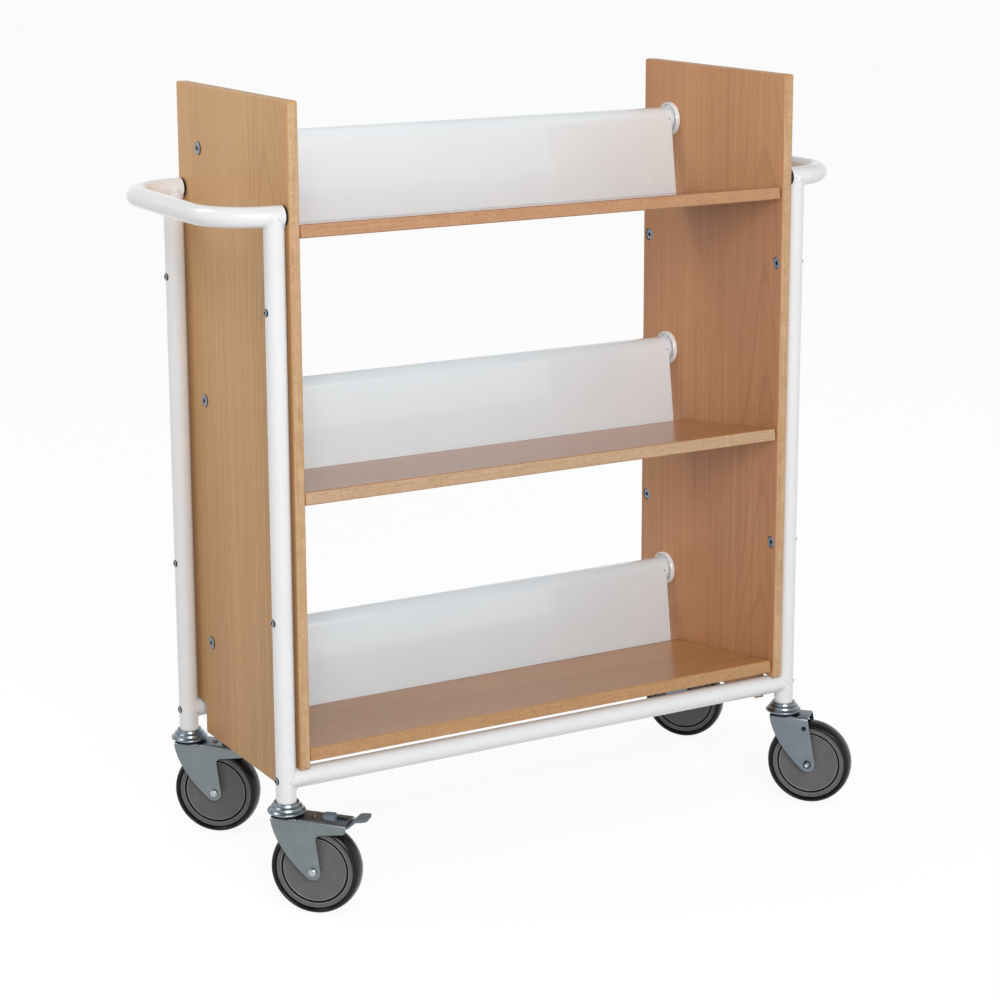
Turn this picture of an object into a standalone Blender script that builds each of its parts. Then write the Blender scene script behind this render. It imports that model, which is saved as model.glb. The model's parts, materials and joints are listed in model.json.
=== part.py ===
"""Book trolley: beech end panels and sloping shelves on a white tube frame with swivel casters.

Metres, +Z up, origin on the floor below the middle of the end panels.
+X runs along the shelves to the right end, and books are put in from the -Y side.
"""

import math

import bmesh
import bpy
from mathutils import Matrix, Vector

# Clearances
FIT_GAP = 0.0003  # between pieces that touch
RUN_GAP = 0.00006  # radial, between a shaft and its bore

# Facets round a full turn
TUBE_SEGMENTS = 12
TURN_SEGMENTS = 14
WHEEL_SEGMENTS = 24
HOLE_SEGMENTS = 10
DOWEL_SEGMENTS = 6

# End panels
INNER_LENGTH = 0.768  # between the panels' inner faces
PANEL_THICKNESS = 0.015
PANEL_DEPTH = 0.368
PANEL_HEIGHT = 0.903  # above the notches
PANEL_CORNER_R = 0.004
TONGUE_CORNER_R = 0.0015
WOOD_EDGE = 0.001
TONGUE_GAP = 0.0155  # from the tongue between the notches to the crossbars
TONGUE_DROP = 0.017  # below the underside of the crossbars
BOLT_SEAT_R = 0.0095
BOLT_SEAT_DEPTH = 0.003
LOW_BOLT_RISE = 0.2083  # of the lower leg bolts above the notches
HIGH_BOLT_DROP = 0.1253  # of the upper leg bolts below the handles' axes

# Tube frame
TUBE_D = 0.028
TUBE_WALL = 0.0015
LEG_PANEL_GAP = 0.0015
CROSSBAR_RISE = 0.0323  # from the legs' lower ends to the crossbars' axes
HANDLE_DROP = 0.1487  # of the handles' axes below the panels' tops
HANDLE_REACH = 0.094  # from a panel's outer face to the grip's axis
HANDLE_BEND_R = 0.075
HANDLE_BEND_STEPS = 5
PLUG_FLANGE = 0.0034
PLUG_LENGTH = 0.015  # inside the tube

# Shelves and book stops
SHELF_TILT = math.radians(8.0)  # front edge high
FIRST_ROLL_RISE = 0.0998  # from the notches to the lowest roll's axis
LAST_ROLL_DROP = 0.0878  # of the highest roll's axis below the panels' tops
ROLL_INSET = 0.073  # from the panels' rear edges to the rolls' axes
ROLL_D = 0.038
STOP_SHEET = 0.0015
STOP_HEIGHT = 0.1128  # from a roll's axis to its shelf's upper face
STOP_END_GAP = 0.0115  # from a book stop's end to the panel
ROLL_STEPS = 16
ROLL_TURN = math.radians(318)
SHELF_THICKNESS = 0.018
SHELF_SETBACK = 0.005  # of the shelves' front edges behind the panels'
SHELF_END_GAP = 0.002
DOWEL_D = 0.008
DOWEL_DEPTH = 0.008  # in the panel
DOWEL_INSET = 0.040  # from the shelves' front and rear edges

# Flanges that carry the rolls
FLANGE_R = 0.026
FLANGE_DEPTH = 0.0068
FLANGE_LIP = 0.0025
FLANGE_FLOOR = 0.0024
SPIGOT_LENGTH = 0.014  # inside the roll

# Wheels
WHEEL_D = 0.127
TYRE_WIDTH = 0.032
TYRE_DEPTH = 0.0085
WHEEL_FACE_WIDTH = 0.0235
GROOVE_INSET = 0.0088  # from the wheel centre's rim
GROOVE_WIDTH = 0.0024
GROOVE_DEPTH = 0.0018
HUB_R = 0.009
AXLE_R = 0.0041
AXLE_HEAD_R = 0.0062
AXLE_HEAD_H = 0.0036

# Caster forks
FORK_SHEET = 0.0024
FORK_SIDE_GAP = 0.0028  # between tyre and fork
FORK_BEND_R = 0.004
CROWN_GAP = 0.0073  # between tyre and the fork's crown
TRAIL = 0.0422  # from the swivel axis to the axle
FORK_NOSE = 0.0173  # ahead of the swivel axis
NOSE_LEAN = math.radians(8)
BOSS_R = 0.0115  # round the axle
FRONT_SLOPE = math.radians(41)
PLAIN_LEAN = math.radians(9.9)
BRAKED_LEAN = math.radians(7.8)
FORK_HOLE_R = 0.003
FORK_HOLE_BACK = 0.0062  # from the axle, towards the swivel axis
FORK_HOLE_DROP = 0.0168  # below the crown
ARM_REACH = 0.0475  # of the brake arm past the axle
ARM_ROOT_HEIGHT = 0.020
ARM_END_HEIGHT = 0.0125
ARM_FALL = 0.0026  # of the crown towards the arm's end
ARM_FILLET = 0.007
ARM_CORNER = 0.006
SLOT_START = 0.010  # past the axle
SLOT_END = 0.0445
SLOT_WIDTH = 0.019

# Swivel heads
STEM_LENGTH = 0.045
COLLAR_WALL = 0.0029
COLLAR_RISE = 0.002  # round the leg's lower end
SKIRT_R = 0.0264
SKIRT_HEIGHT = 0.0146
SKIRT_EDGE = 0.0027
RACE_R = 0.0215
RACE_HEIGHT = 0.003
KING_R = 0.006
KING_RIVET_R = 0.010
KING_RIVET_H = 0.003

# Brake pedals
PEDAL_SHEET = 0.003
PEDAL_WIDTH = 0.026
PEDAL_STROKE = math.radians(8)
PIVOT_BEYOND = 0.0205  # past the axle
PIVOT_DROP = 0.0068  # below the crown's underside
PIVOT_R = 0.0026
PIVOT_SOCKET = 0.0014  # into each side of the fork
BUTTON_LENGTH = 0.017
BUTTON_WIDTH = 0.0165
BUTTON_RISE = 0.0045  # above the crown
BUTTON_CORNER = 0.003
SHOE_OFFSET = 0.011  # past the pivot
SHOE_LENGTH = 0.006
SHOE_WIDTH = 0.014
SHOE_GAP = 0.0004  # to the tyre with the pedal down
TAB_WIDTH = 0.030
TAB_LENGTH = 0.021
TAB_CORNER = 0.007
# Middle line of the pressed lever, from the pivot: under the slot, out of the arm, up to the tab
PEDAL_LINE = (
    (-0.008, 0.0),
    (0.027, 0.0005),
    (0.039, 0.0115),
    (0.056, 0.0135),
)

# Where each caster points, from +X towards +Y
SWIVEL_ANGLES = {
    "front_left": math.radians(-44.0),
    "rear_left": math.radians(-42.0),
    "front_right": math.radians(-47.5),
    "rear_right": math.radians(-47.0),
}
TIERS = ("bottom", "middle", "top")

# Heights and places that follow from the sizes above
TUBE_R = TUBE_D / 2
TUBE_BORE_R = TUBE_R - TUBE_WALL
TUBE_SPIGOT_R = TUBE_BORE_R * math.cos(math.pi / TUBE_SEGMENTS) - FIT_GAP  # inside the bore's flats
WHEEL_R = WHEEL_D / 2
RIM_R = WHEEL_R - TYRE_DEPTH
CROWN_UNDER = WHEEL_D + CROWN_GAP
FORK_TOP = CROWN_UNDER + FORK_SHEET
FORK_INNER = TYRE_WIDTH / 2 + FORK_SIDE_GAP
FORK_OUTER = FORK_INNER + FORK_SHEET
SKIRT_UNDER = FORK_TOP + FIT_GAP + RACE_HEIGHT
COLLAR_TOP = SKIRT_UNDER + SKIRT_HEIGHT
LEG_SEAT = COLLAR_TOP - COLLAR_RISE
LEG_BOTTOM = LEG_SEAT + FIT_GAP
CROSSBAR_Z = LEG_BOTTOM + CROSSBAR_RISE
NOTCH_Z = CROSSBAR_Z + TUBE_R + FIT_GAP
TONGUE_Z = CROSSBAR_Z - TUBE_R - TONGUE_DROP
PANEL_TOP = NOTCH_Z + PANEL_HEIGHT
HANDLE_Z = PANEL_TOP - HANDLE_DROP
LEG_BOLT_HEIGHTS = (NOTCH_Z + LOW_BOLT_RISE, HANDLE_Z - HIGH_BOLT_DROP)
PANEL_INNER_X = INNER_LENGTH / 2
PANEL_OUTER_X = PANEL_INNER_X + PANEL_THICKNESS
LEG_X = PANEL_OUTER_X + LEG_PANEL_GAP + TUBE_R
LEG_Y = PANEL_DEPTH / 2 - TUBE_R
TONGUE_Y = LEG_Y - TUBE_R - TONGUE_GAP
HANDLE_START_X = PANEL_OUTER_X + PLUG_FLANGE + 2 * FIT_GAP
GRIP_X = PANEL_OUTER_X + HANDLE_REACH
BEND_X = GRIP_X - HANDLE_BEND_R
BEND_Y = LEG_Y - HANDLE_BEND_R
ROLL_Y = PANEL_DEPTH / 2 - ROLL_INSET
ROLL_R = ROLL_D / 2
SHELF_PITCH = (PANEL_HEIGHT - FIRST_ROLL_RISE - LAST_ROLL_DROP) / (len(TIERS) - 1)
SPIGOT_R = (ROLL_R - STOP_SHEET) * math.cos(ROLL_TURN / ROLL_STEPS / 2) - FIT_GAP
SHELF_UPPER = -STOP_HEIGHT
SHELF_LOWER = SHELF_UPPER - SHELF_THICKNESS
SHELF_REAR = -ROLL_R - FIT_GAP
SHELF_FRONT = (
    SHELF_SETBACK - PANEL_DEPTH / 2 - ROLL_Y - SHELF_UPPER * math.sin(SHELF_TILT)
) / math.cos(SHELF_TILT)
DOWEL_LINES = (SHELF_FRONT + DOWEL_INSET, SHELF_REAR - DOWEL_INSET)
PIVOT_X = TRAIL + PIVOT_BEYOND
PIVOT_Z = CROWN_UNDER - PIVOT_DROP


def clear_scene():
    """Empty the file and give it one collection for parts and one for cutters."""
    for item in list(bpy.data.objects):
        bpy.data.objects.remove(item, do_unlink=True)
    for name in ("book_trolley", "cutters"):
        collection = bpy.data.collections.new(name)
        bpy.context.scene.collection.children.link(collection)


def paint(name, colour, roughness, metallic):
    material = bpy.data.materials.new(name)
    material.use_nodes = True
    shader = material.node_tree.nodes["Principled BSDF"]
    shader.inputs["Base Color"].default_value = (*colour, 1.0)
    shader.inputs["Roughness"].default_value = roughness
    shader.inputs["Metallic"].default_value = metallic
    material.diffuse_color = (*colour, 1.0)
    return material


def add_part(name, mesh, material, matrix=None):
    item = bpy.data.objects.new(name, mesh)
    mesh.materials.append(material)
    bpy.data.collections["book_trolley"].objects.link(item)
    if matrix is not None:
        item.matrix_world = matrix
    return item


def add_cutter(name, mesh, matrix=None):
    item = bpy.data.objects.new(name, mesh)
    bpy.data.collections["cutters"].objects.link(item)
    item.hide_render = True
    item.display_type = "WIRE"
    if matrix is not None:
        item.matrix_world = matrix
    return item


def combine(target, tool, operation="DIFFERENCE"):
    modifier = target.modifiers.new(tool.name, "BOOLEAN")
    modifier.object = tool
    modifier.operation = operation
    modifier.solver = "EXACT"


def break_edges(target, width):
    """Chamfer the square edges only, not the facets of a rounded corner."""
    modifier = target.modifiers.new("edges", "BEVEL")
    modifier.width = width
    modifier.segments = 1
    modifier.limit_method = "ANGLE"
    modifier.angle_limit = math.radians(60)


def mesh_of(bm, name, smooth_angle=None):
    bmesh.ops.recalc_face_normals(bm, faces=bm.faces)
    mesh = bpy.data.meshes.new(name)
    bm.to_mesh(mesh)
    bm.free()
    if smooth_angle is not None:
        mesh.shade_smooth()
        mesh.set_sharp_from_angle(angle=math.radians(smooth_angle))
    return mesh


def arc(centre, radius, start, end, steps):
    """Points on an arc from one angle to another, both ends included."""
    angles = [start + (end - start) * i / steps for i in range(steps + 1)]
    return [(centre[0] + radius * math.cos(a), centre[1] + radius * math.sin(a)) for a in angles]


def curve(first, control, last, steps):
    """Points on a quadratic curve, both ends included."""
    points = []
    for i in range(steps + 1):
        t = i / steps
        weights = ((1 - t) ** 2, 2 * t * (1 - t), t * t)
        points.append(
            tuple(
                weights[0] * a + weights[1] * b + weights[2] * c
                for a, b, c in zip(first, control, last)
            )
        )
    return points


def rounded(corners, steps, closed=True):
    """Outline through corners (a, b) or (a, b, radius), with an arc at each corner that has a radius."""
    outline = []
    count = len(corners)
    for i, corner in enumerate(corners):
        here = Vector(corner[:2])
        is_end = not closed and i in (0, count - 1)
        if len(corner) < 3 or is_end:
            outline.append(tuple(here))
            continue
        before = (Vector(corners[i - 1][:2]) - here).normalized()
        after = (Vector(corners[(i + 1) % count][:2]) - here).normalized()
        half = before.angle(after) / 2
        centre = here + (before + after).normalized() * (corner[2] / math.sin(half))
        run = corner[2] / math.tan(half)
        start = here + before * run - centre
        end = here + after * run - centre
        first = math.atan2(start.y, start.x)
        sweep = math.atan2(start.cross(end), start.dot(end))
        outline += arc(centre, corner[2], first, first + sweep, steps)
    return outline


def strip(line, thickness):
    """Closed outline of a sheet of even thickness along an open middle line."""
    points = [Vector(p) for p in line]
    left = []
    right = []
    for i, point in enumerate(points):
        into = (point - points[i - 1]).normalized() if i else None
        out = (points[i + 1] - point).normalized() if i + 1 < len(points) else None
        along = ((into or out) + (out or into)).normalized()
        normal = Vector((-along.y, along.x))
        reach = thickness / 2 / along.dot(into or out)
        left.append(tuple(point + normal * reach))
        right.append(tuple(point - normal * reach))
    return left + right[::-1]


def loft(bm, rings):
    """Wall through rings with equal numbers of points; gives back its vertices."""
    wall = [[bm.verts.new(p) for p in ring] for ring in rings]
    for near, far in zip(wall, wall[1:]):
        for i in range(len(near)):
            j = (i + 1) % len(near)
            bm.faces.new((near[i], near[j], far[j], far[i]))
    return wall


def solid(name, rings, smooth_angle=None):
    """Loft through rings, closed at both ends."""
    bm = bmesh.new()
    wall = loft(bm, rings)
    for end in (0, -1):
        bm.faces.new(wall[end])
    return mesh_of(bm, name, smooth_angle)


def prism(name, outline, low, high, axis, smooth_angle=None):
    """Flat outline in the other two axes, extruded along the named axis."""
    place = {
        "X": lambda a, b, t: (t, a, b),
        "Y": lambda a, b, t: (a, t, b),
        "Z": lambda a, b, t: (a, b, t),
    }[axis]
    rings = [[place(a, b, t) for a, b in outline] for t in (low, high)]
    return solid(name, rings, smooth_angle)


def rod(name, radius, low, high, axis, segments, centre=(0, 0)):
    """Round bar along an axis, for cutters and pins."""
    outline = arc(centre, radius, 0, 2 * math.pi, segments)[:-1]
    return prism(name, outline, low, high, axis)


def bore_radius(shaft_radius, segments):
    """Radius of a faceted bore whose flats clear the shaft."""
    return (shaft_radius + RUN_GAP) / math.cos(math.pi / segments)


def turned(name, profile, segments, material, matrix, ring=False):
    """Turned piece: the profile's (radius, height) points run down its outer side."""
    mesh = bpy.data.meshes.new(name)
    vertices = [(radius, 0.0, height) for radius, height in profile]
    edges = [(i, i + 1) for i in range(len(profile) - 1)]
    if ring:
        edges.append((len(profile) - 1, 0))
    mesh.from_pydata(vertices, edges, [])
    item = add_part(name, mesh, material, matrix)
    screw = item.modifiers.new("turn", "SCREW")
    screw.axis = "Z"
    screw.angle = 2 * math.pi
    screw.steps = segments
    screw.render_steps = segments
    screw.use_merge_vertices = True
    screw.merge_threshold = 0.00001
    screw.use_smooth_shade = True
    return item


def ring_at(centre, across, upward, radius):
    """One ring of a tube, in the plane of two unit vectors."""
    angles = [2 * math.pi * i / TUBE_SEGMENTS for i in range(TUBE_SEGMENTS)]
    return [centre + (across * math.cos(a) + upward * math.sin(a)) * radius for a in angles]


def tube(name, stations, material):
    """Open tube through stations, each a centre and two unit vectors across the tube."""
    bm = bmesh.new()
    outer = loft(bm, [ring_at(*station, TUBE_R) for station in stations])
    inner = loft(bm, [ring_at(*station, TUBE_BORE_R) for station in stations])
    for end in (0, -1):
        for i in range(TUBE_SEGMENTS):
            j = (i + 1) % TUBE_SEGMENTS
            bm.faces.new((outer[end][i], outer[end][j], inner[end][j], inner[end][i]))
    return add_part(name, mesh_of(bm, name, 40), material)


def cope(target, name, stations):
    """Cut a tube's end to the shape of the tube that it is welded to."""
    rings = [ring_at(*station, TUBE_R + FIT_GAP) for station in stations]
    combine(target, add_cutter(name, solid(name, rings)))


def tier_matrix(tier):
    """Frame on a roll's axis: Y runs down the shelf to the rear, Z is square to the shelf."""
    height = NOTCH_Z + FIRST_ROLL_RISE + SHELF_PITCH * TIERS.index(tier)
    return Matrix.Translation((0, ROLL_Y, height)) @ Matrix.Rotation(-SHELF_TILT, 4, "X")


def make_end_panel(side, name, wood):
    half = PANEL_DEPTH / 2
    outline = rounded(
        [
            (-TONGUE_Y, TONGUE_Z, TONGUE_CORNER_R),
            (TONGUE_Y, TONGUE_Z, TONGUE_CORNER_R),
            (TONGUE_Y, NOTCH_Z),
            (half, NOTCH_Z),
            (half, PANEL_TOP, PANEL_CORNER_R),
            (-half, PANEL_TOP, PANEL_CORNER_R),
            (-half, NOTCH_Z),
            (-TONGUE_Y, NOTCH_Z),
        ],
        3,
    )
    low, high = sorted((side * PANEL_INNER_X, side * PANEL_OUTER_X))
    panel = add_part(name, prism(name, outline, low, high, "X"), wood)
    break_edges(panel, WOOD_EDGE)

    def sink(label, face, depth, radius, segments, centre):
        """Flat-bottomed hole into the panel from a face at the given X."""
        ends = sorted((face - depth, face + depth))
        mesh = rod(label, radius, ends[0], ends[1], "X", segments, centre)
        combine(panel, add_cutter(label, mesh))

    def seat_bolt(label, face, centre):
        sink(label, face, BOLT_SEAT_DEPTH, BOLT_SEAT_R, HOLE_SEGMENTS, centre)

    inner = side * PANEL_INNER_X
    outer = side * PANEL_OUTER_X
    dowel_hole_r = (DOWEL_D / 2 + FIT_GAP) / math.cos(math.pi / DOWEL_SEGMENTS)
    dowel_depth = DOWEL_DEPTH + FIT_GAP
    for tier in TIERS:
        frame = tier_matrix(tier)
        seat = frame.translation
        seat_bolt(f"{name}_stop_seat_{tier}", outer, (seat.y, seat.z))
        for index, line in enumerate(DOWEL_LINES):
            hole = frame @ Vector((0, line, (SHELF_UPPER + SHELF_LOWER) / 2))
            label = f"{name}_dowel_{tier}_{index}"
            sink(label, inner, dowel_depth, dowel_hole_r, DOWEL_SEGMENTS, (hole.y, hole.z))
    for height in LEG_BOLT_HEIGHTS:
        for y in (-LEG_Y, LEG_Y):
            seat_bolt(f"{name}_leg_seat_{height}_{y}", inner, (y, height))


def make_shelf(tier, wood):
    name = f"shelf_{tier}"
    frame = tier_matrix(tier)
    half = PANEL_INNER_X - SHELF_END_GAP
    outline = [
        (SHELF_FRONT, SHELF_LOWER),
        (SHELF_REAR, SHELF_LOWER),
        (SHELF_REAR, SHELF_UPPER),
        (SHELF_FRONT, SHELF_UPPER),
    ]
    shelf = add_part(name, prism(name, outline, -half, half, "X"), wood, frame)
    break_edges(shelf, WOOD_EDGE)
    reach = PANEL_INNER_X + DOWEL_DEPTH
    for index, line in enumerate(DOWEL_LINES):
        label = f"{name}_dowel_{index}"
        centre = (line, (SHELF_UPPER + SHELF_LOWER) / 2)
        mesh = rod(label, DOWEL_D / 2, -reach, reach, "X", DOWEL_SEGMENTS, centre)
        combine(shelf, add_cutter(label, mesh, frame), "UNION")


def make_book_stop(tier, white):
    """Sheet that stands behind its shelf and ends in a roll at the top."""
    name = f"book_stop_{tier}"
    middle = ROLL_R - STOP_SHEET / 2
    roll = arc((0, 0), middle, math.pi, math.pi - ROLL_TURN, ROLL_STEPS)
    outline = strip([(-middle, SHELF_LOWER)] + roll, STOP_SHEET)
    half = PANEL_INNER_X - STOP_END_GAP
    mesh = prism(name, outline, -half, half, "X", 40)
    add_part(name, mesh, white, tier_matrix(tier))


def make_flange(tier, side, end, white):
    """Dished cup on a panel's inner face, with a spigot in the roll's end."""
    spigot_end = STOP_END_GAP + SPIGOT_LENGTH
    profile = [
        (0, spigot_end),
        (SPIGOT_R, spigot_end),
        (SPIGOT_R, FLANGE_FLOOR),
        (FLANGE_R - 2 * FLANGE_LIP, FLANGE_FLOOR),
        (FLANGE_R - FLANGE_LIP, FLANGE_DEPTH - FLANGE_LIP / 4),
        (FLANGE_R - FLANGE_LIP / 2, FLANGE_DEPTH),
        (FLANGE_R, FLANGE_DEPTH - FLANGE_LIP / 2),
        (FLANGE_R, FIT_GAP),
        (0, FIT_GAP),
    ]
    place = tier_matrix(tier).translation
    matrix = Matrix.Translation((side * PANEL_INNER_X, place.y, place.z))
    matrix = matrix @ Matrix.Rotation(-side * math.pi / 2, 4, "Y")
    turned(f"flange_{tier}_{end}", profile, TURN_SEGMENTS, white, matrix)


def handle_stations(side, start_x):
    """A handle's stations, from its front end round the grip to its rear end."""
    places = [(start_x, -LEG_Y, -math.pi / 2)]
    for centre_y, start in ((-BEND_Y, -math.pi / 2), (BEND_Y, 0)):
        for i in range(HANDLE_BEND_STEPS + 1):
            turn = start + math.pi / 2 * i / HANDLE_BEND_STEPS
            x = BEND_X + HANDLE_BEND_R * math.cos(turn)
            places.append((x, centre_y + HANDLE_BEND_R * math.sin(turn), turn))
    places.append((start_x, LEG_Y, math.pi / 2))
    up = Vector((0, 0, 1))
    return [
        (Vector((side * x, y, HANDLE_Z)), Vector((side * math.cos(turn), math.sin(turn), 0)), up)
        for x, y, turn in places
    ]


def leg_stations(side, front):
    across = Vector((1, 0, 0))
    upward = Vector((0, 1, 0))
    return [
        (Vector((side * LEG_X, front * LEG_Y, height)), across, upward)
        for height in (LEG_BOTTOM, HANDLE_Z)
    ]


def make_leg(side, front, name, white):
    leg = tube(f"leg_{name}", leg_stations(side, front), white)
    cope(leg, f"leg_{name}_cope", handle_stations(side, PANEL_OUTER_X))


def make_crossbar(front, name, white):
    across = Vector((0, 1, 0))
    upward = Vector((0, 0, 1))
    stations = [
        (Vector((side * LEG_X, front * LEG_Y, CROSSBAR_Z)), across, upward) for side in (-1, 1)
    ]
    bar = tube(f"crossbar_{name}", stations, white)
    for side in (-1, 1):
        cope(bar, f"crossbar_{name}_cope_{side}", leg_stations(side, front))


def make_plug(side, front, name, black):
    """Plug with a tapered flange between a handle's end and the panel."""
    face = -PLUG_FLANGE - FIT_GAP
    radius = TUBE_R - FIT_GAP
    profile = [
        (0, PLUG_LENGTH),
        (TUBE_SPIGOT_R, PLUG_LENGTH),
        (TUBE_SPIGOT_R, -FIT_GAP),
        (radius, -FIT_GAP),
        (radius - PLUG_FLANGE / 3, face),
        (0, face),
    ]
    matrix = Matrix.Translation((side * HANDLE_START_X, front * LEG_Y, HANDLE_Z))
    matrix = matrix @ Matrix.Rotation(side * math.pi / 2, 4, "Y")
    turned(f"plug_{name}", profile, TUBE_SEGMENTS, black, matrix)


def make_swivel_head(name, matrix, zinc):
    """Stem, collar, stepped skirt and king rivet, turned in one piece."""
    collar = (TUBE_R + FIT_GAP) / math.cos(math.pi / TURN_SEGMENTS)
    shoulder = collar + COLLAR_WALL
    flare = SKIRT_R - shoulder
    fall = SKIRT_HEIGHT - SKIRT_EDGE
    rivet_top = CROWN_UNDER - FIT_GAP
    profile = [
        (0, LEG_BOTTOM + STEM_LENGTH),
        (TUBE_SPIGOT_R, LEG_BOTTOM + STEM_LENGTH),
        (TUBE_SPIGOT_R, LEG_SEAT),
        (collar, LEG_SEAT),
        (collar, COLLAR_TOP),
        (shoulder, COLLAR_TOP),
        (shoulder + 0.25 * flare, COLLAR_TOP - 0.42 * fall),
        (shoulder + 0.55 * flare, COLLAR_TOP - 0.58 * fall),
        (shoulder + 0.65 * flare, COLLAR_TOP - 0.78 * fall),
        (SKIRT_R, COLLAR_TOP - fall),
        (SKIRT_R, SKIRT_UNDER),
        (RACE_R, SKIRT_UNDER),
        (RACE_R, FORK_TOP + FIT_GAP),
        (KING_R, FORK_TOP + FIT_GAP),
        (KING_R, rivet_top),
        (KING_RIVET_R, rivet_top),
        (0, rivet_top - KING_RIVET_H),
    ]
    turned(f"swivel_head_{name}", profile, TURN_SEGMENTS, zinc, matrix)


def meeting_point(first, first_way, second, second_way):
    """Where two lines cross, each given by a point and a direction."""
    gap = Vector(second) - Vector(first)
    first_way = Vector(first_way)
    second_way = Vector(second_way)
    return Vector(first) + first_way * (gap.cross(second_way) / first_way.cross(second_way))


def fork_side(braked):
    """Outline of a fork's side: curved front, boss round the axle, rear edge and brake arm."""
    lean = BRAKED_LEAN if braked else PLAIN_LEAN
    boss_start = math.radians(270) - FRONT_SLOPE
    boss = arc((TRAIL, WHEEL_R), BOSS_R, boss_start, 2 * math.pi + lean, 6)
    nose = (-FORK_NOSE, FORK_TOP)
    nose_way = (math.sin(NOSE_LEAN), -math.cos(NOSE_LEAN))
    boss_way = (-math.cos(FRONT_SLOPE), math.sin(FRONT_SLOPE))
    front = curve(nose, meeting_point(nose, nose_way, boss[0], boss_way), boss[0], 8)
    corners = front + boss[1:]

    def rear_x(height):
        return boss[-1][0] - (height - boss[-1][1]) * math.tan(lean)

    if braked:
        root = FORK_TOP - ARM_ROOT_HEIGHT
        end_x = TRAIL + ARM_REACH
        end_top = FORK_TOP - ARM_FALL
        corners += [
            (rear_x(root), root, ARM_FILLET),
            (end_x, end_top - ARM_END_HEIGHT, ARM_CORNER),
            (end_x, FORK_TOP),
        ]
    else:
        corners.append((rear_x(FORK_TOP), FORK_TOP))
    return rounded(corners, 4)


def fork_fold(name, half, top, bend, overrun, braked):
    """Solid under a folded sheet's face: level crown that falls towards a brake arm's end."""
    low = WHEEL_R - 2 * BOSS_R
    outline = rounded([(-half, low), (half, low), (half, top, bend), (-half, top, bend)], 3)
    level_end = RACE_R + FORK_SHEET
    fall_run = TRAIL + ARM_REACH - level_end
    stations = [(-FORK_NOSE - overrun, 0), (level_end, 0), (level_end + fall_run + overrun, 1)]
    rings = []
    for x, falls in stations:
        drop = falls * ARM_FALL * (fall_run + overrun) / fall_run if braked else 0
        rings.append([Vector((x, y, z - drop)) for y, z in outline])
    return solid(name, rings, 30)


def make_fork(name, braked, matrix, zinc):
    name = f"fork_{name}"
    wide = FORK_OUTER + FORK_SHEET
    fork = add_part(name, prism(name, fork_side(braked), -wide, wide, "Y", 30), zinc, matrix)

    def shape(label, mesh, operation="DIFFERENCE"):
        combine(fork, add_cutter(f"{name}_{label}", mesh, matrix), operation)

    bend = FORK_BEND_R
    fold = fork_fold("fold", FORK_OUTER, FORK_TOP, bend, BOSS_R, braked)
    hollow = fork_fold("hollow", FORK_INNER, CROWN_UNDER, bend - FORK_SHEET, 2 * BOSS_R, braked)
    shape("fold", fold, "INTERSECT")
    shape("hollow", hollow)
    axle_hole = bore_radius(AXLE_R, HOLE_SEGMENTS)
    shape("axle", rod("axle", axle_hole, -wide, wide, "Y", HOLE_SEGMENTS, (TRAIL, WHEEL_R)))
    king_hole = bore_radius(KING_R, TURN_SEGMENTS)
    shape("king", rod("king", king_hole, CROWN_UNDER - FORK_SHEET, SKIRT_UNDER, "Z", TURN_SEGMENTS))
    if braked:
        half = SLOT_WIDTH / 2
        slot = [
            (TRAIL + SLOT_START, -half),
            (TRAIL + SLOT_END, -half),
            (TRAIL + SLOT_END, half),
            (TRAIL + SLOT_START, half),
        ]
        shape("slot", prism("slot", slot, CROWN_UNDER - FORK_SHEET, SKIRT_UNDER, "Z"))
        socket = FORK_INNER + PIVOT_SOCKET + FIT_GAP
        pivot_hole = bore_radius(PIVOT_R, HOLE_SEGMENTS)
        centre = (PIVOT_X, PIVOT_Z)
        shape("pivot", rod("pivot", pivot_hole, -socket, socket, "Y", HOLE_SEGMENTS, centre))
    else:
        centre = (TRAIL - FORK_HOLE_BACK, FORK_TOP - FORK_HOLE_DROP)
        shape("hole", rod("hole", FORK_HOLE_R, -wide, wide, "Y", HOLE_SEGMENTS, centre))


def make_wheel(name, matrix, grey, rubber, zinc):
    """Axle, wheel centre and tyre, turned about the axle with Z along it."""
    face = WHEEL_FACE_WIDTH / 2
    hub = FORK_INNER - FIT_GAP
    bore = bore_radius(AXLE_R, WHEEL_SEGMENTS)
    groove = RIM_R - GROOVE_INSET
    half_side = [
        (bore, hub),
        (HUB_R, hub),
        (HUB_R, face),
        (groove - GROOVE_WIDTH / 2, face),
        (groove, face - GROOVE_DEPTH),
        (groove + GROOVE_WIDTH / 2, face),
        (RIM_R - FIT_GAP, face),
    ]
    other_side = [(radius, -height) for radius, height in reversed(half_side)]
    turned(f"wheel_{name}", half_side + other_side, WHEEL_SEGMENTS, grey, matrix, ring=True)

    half = TYRE_WIDTH / 2
    half_tyre = [
        (RIM_R, face),
        (RIM_R + 0.35 * TYRE_DEPTH, half),
        (RIM_R + 0.78 * TYRE_DEPTH, 0.8 * half),
        (WHEEL_R, 0.28 * half),
    ]
    other_tyre = [(radius, -height) for radius, height in reversed(half_tyre)]
    turned(f"tyre_{name}", half_tyre + other_tyre, WHEEL_SEGMENTS, rubber, matrix, ring=True)

    seat = FORK_OUTER + FIT_GAP
    half_axle = [
        (0, seat + AXLE_HEAD_H),
        (0.6 * AXLE_HEAD_R, seat + 0.8 * AXLE_HEAD_H),
        (AXLE_HEAD_R, seat + 0.25 * AXLE_HEAD_H),
        (AXLE_HEAD_R, seat),
        (AXLE_R, seat),
    ]
    other_axle = [(radius, -height) for radius, height in reversed(half_axle)]
    turned(f"axle_{name}", half_axle + other_axle, HOLE_SEGMENTS, zinc, matrix)


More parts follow.
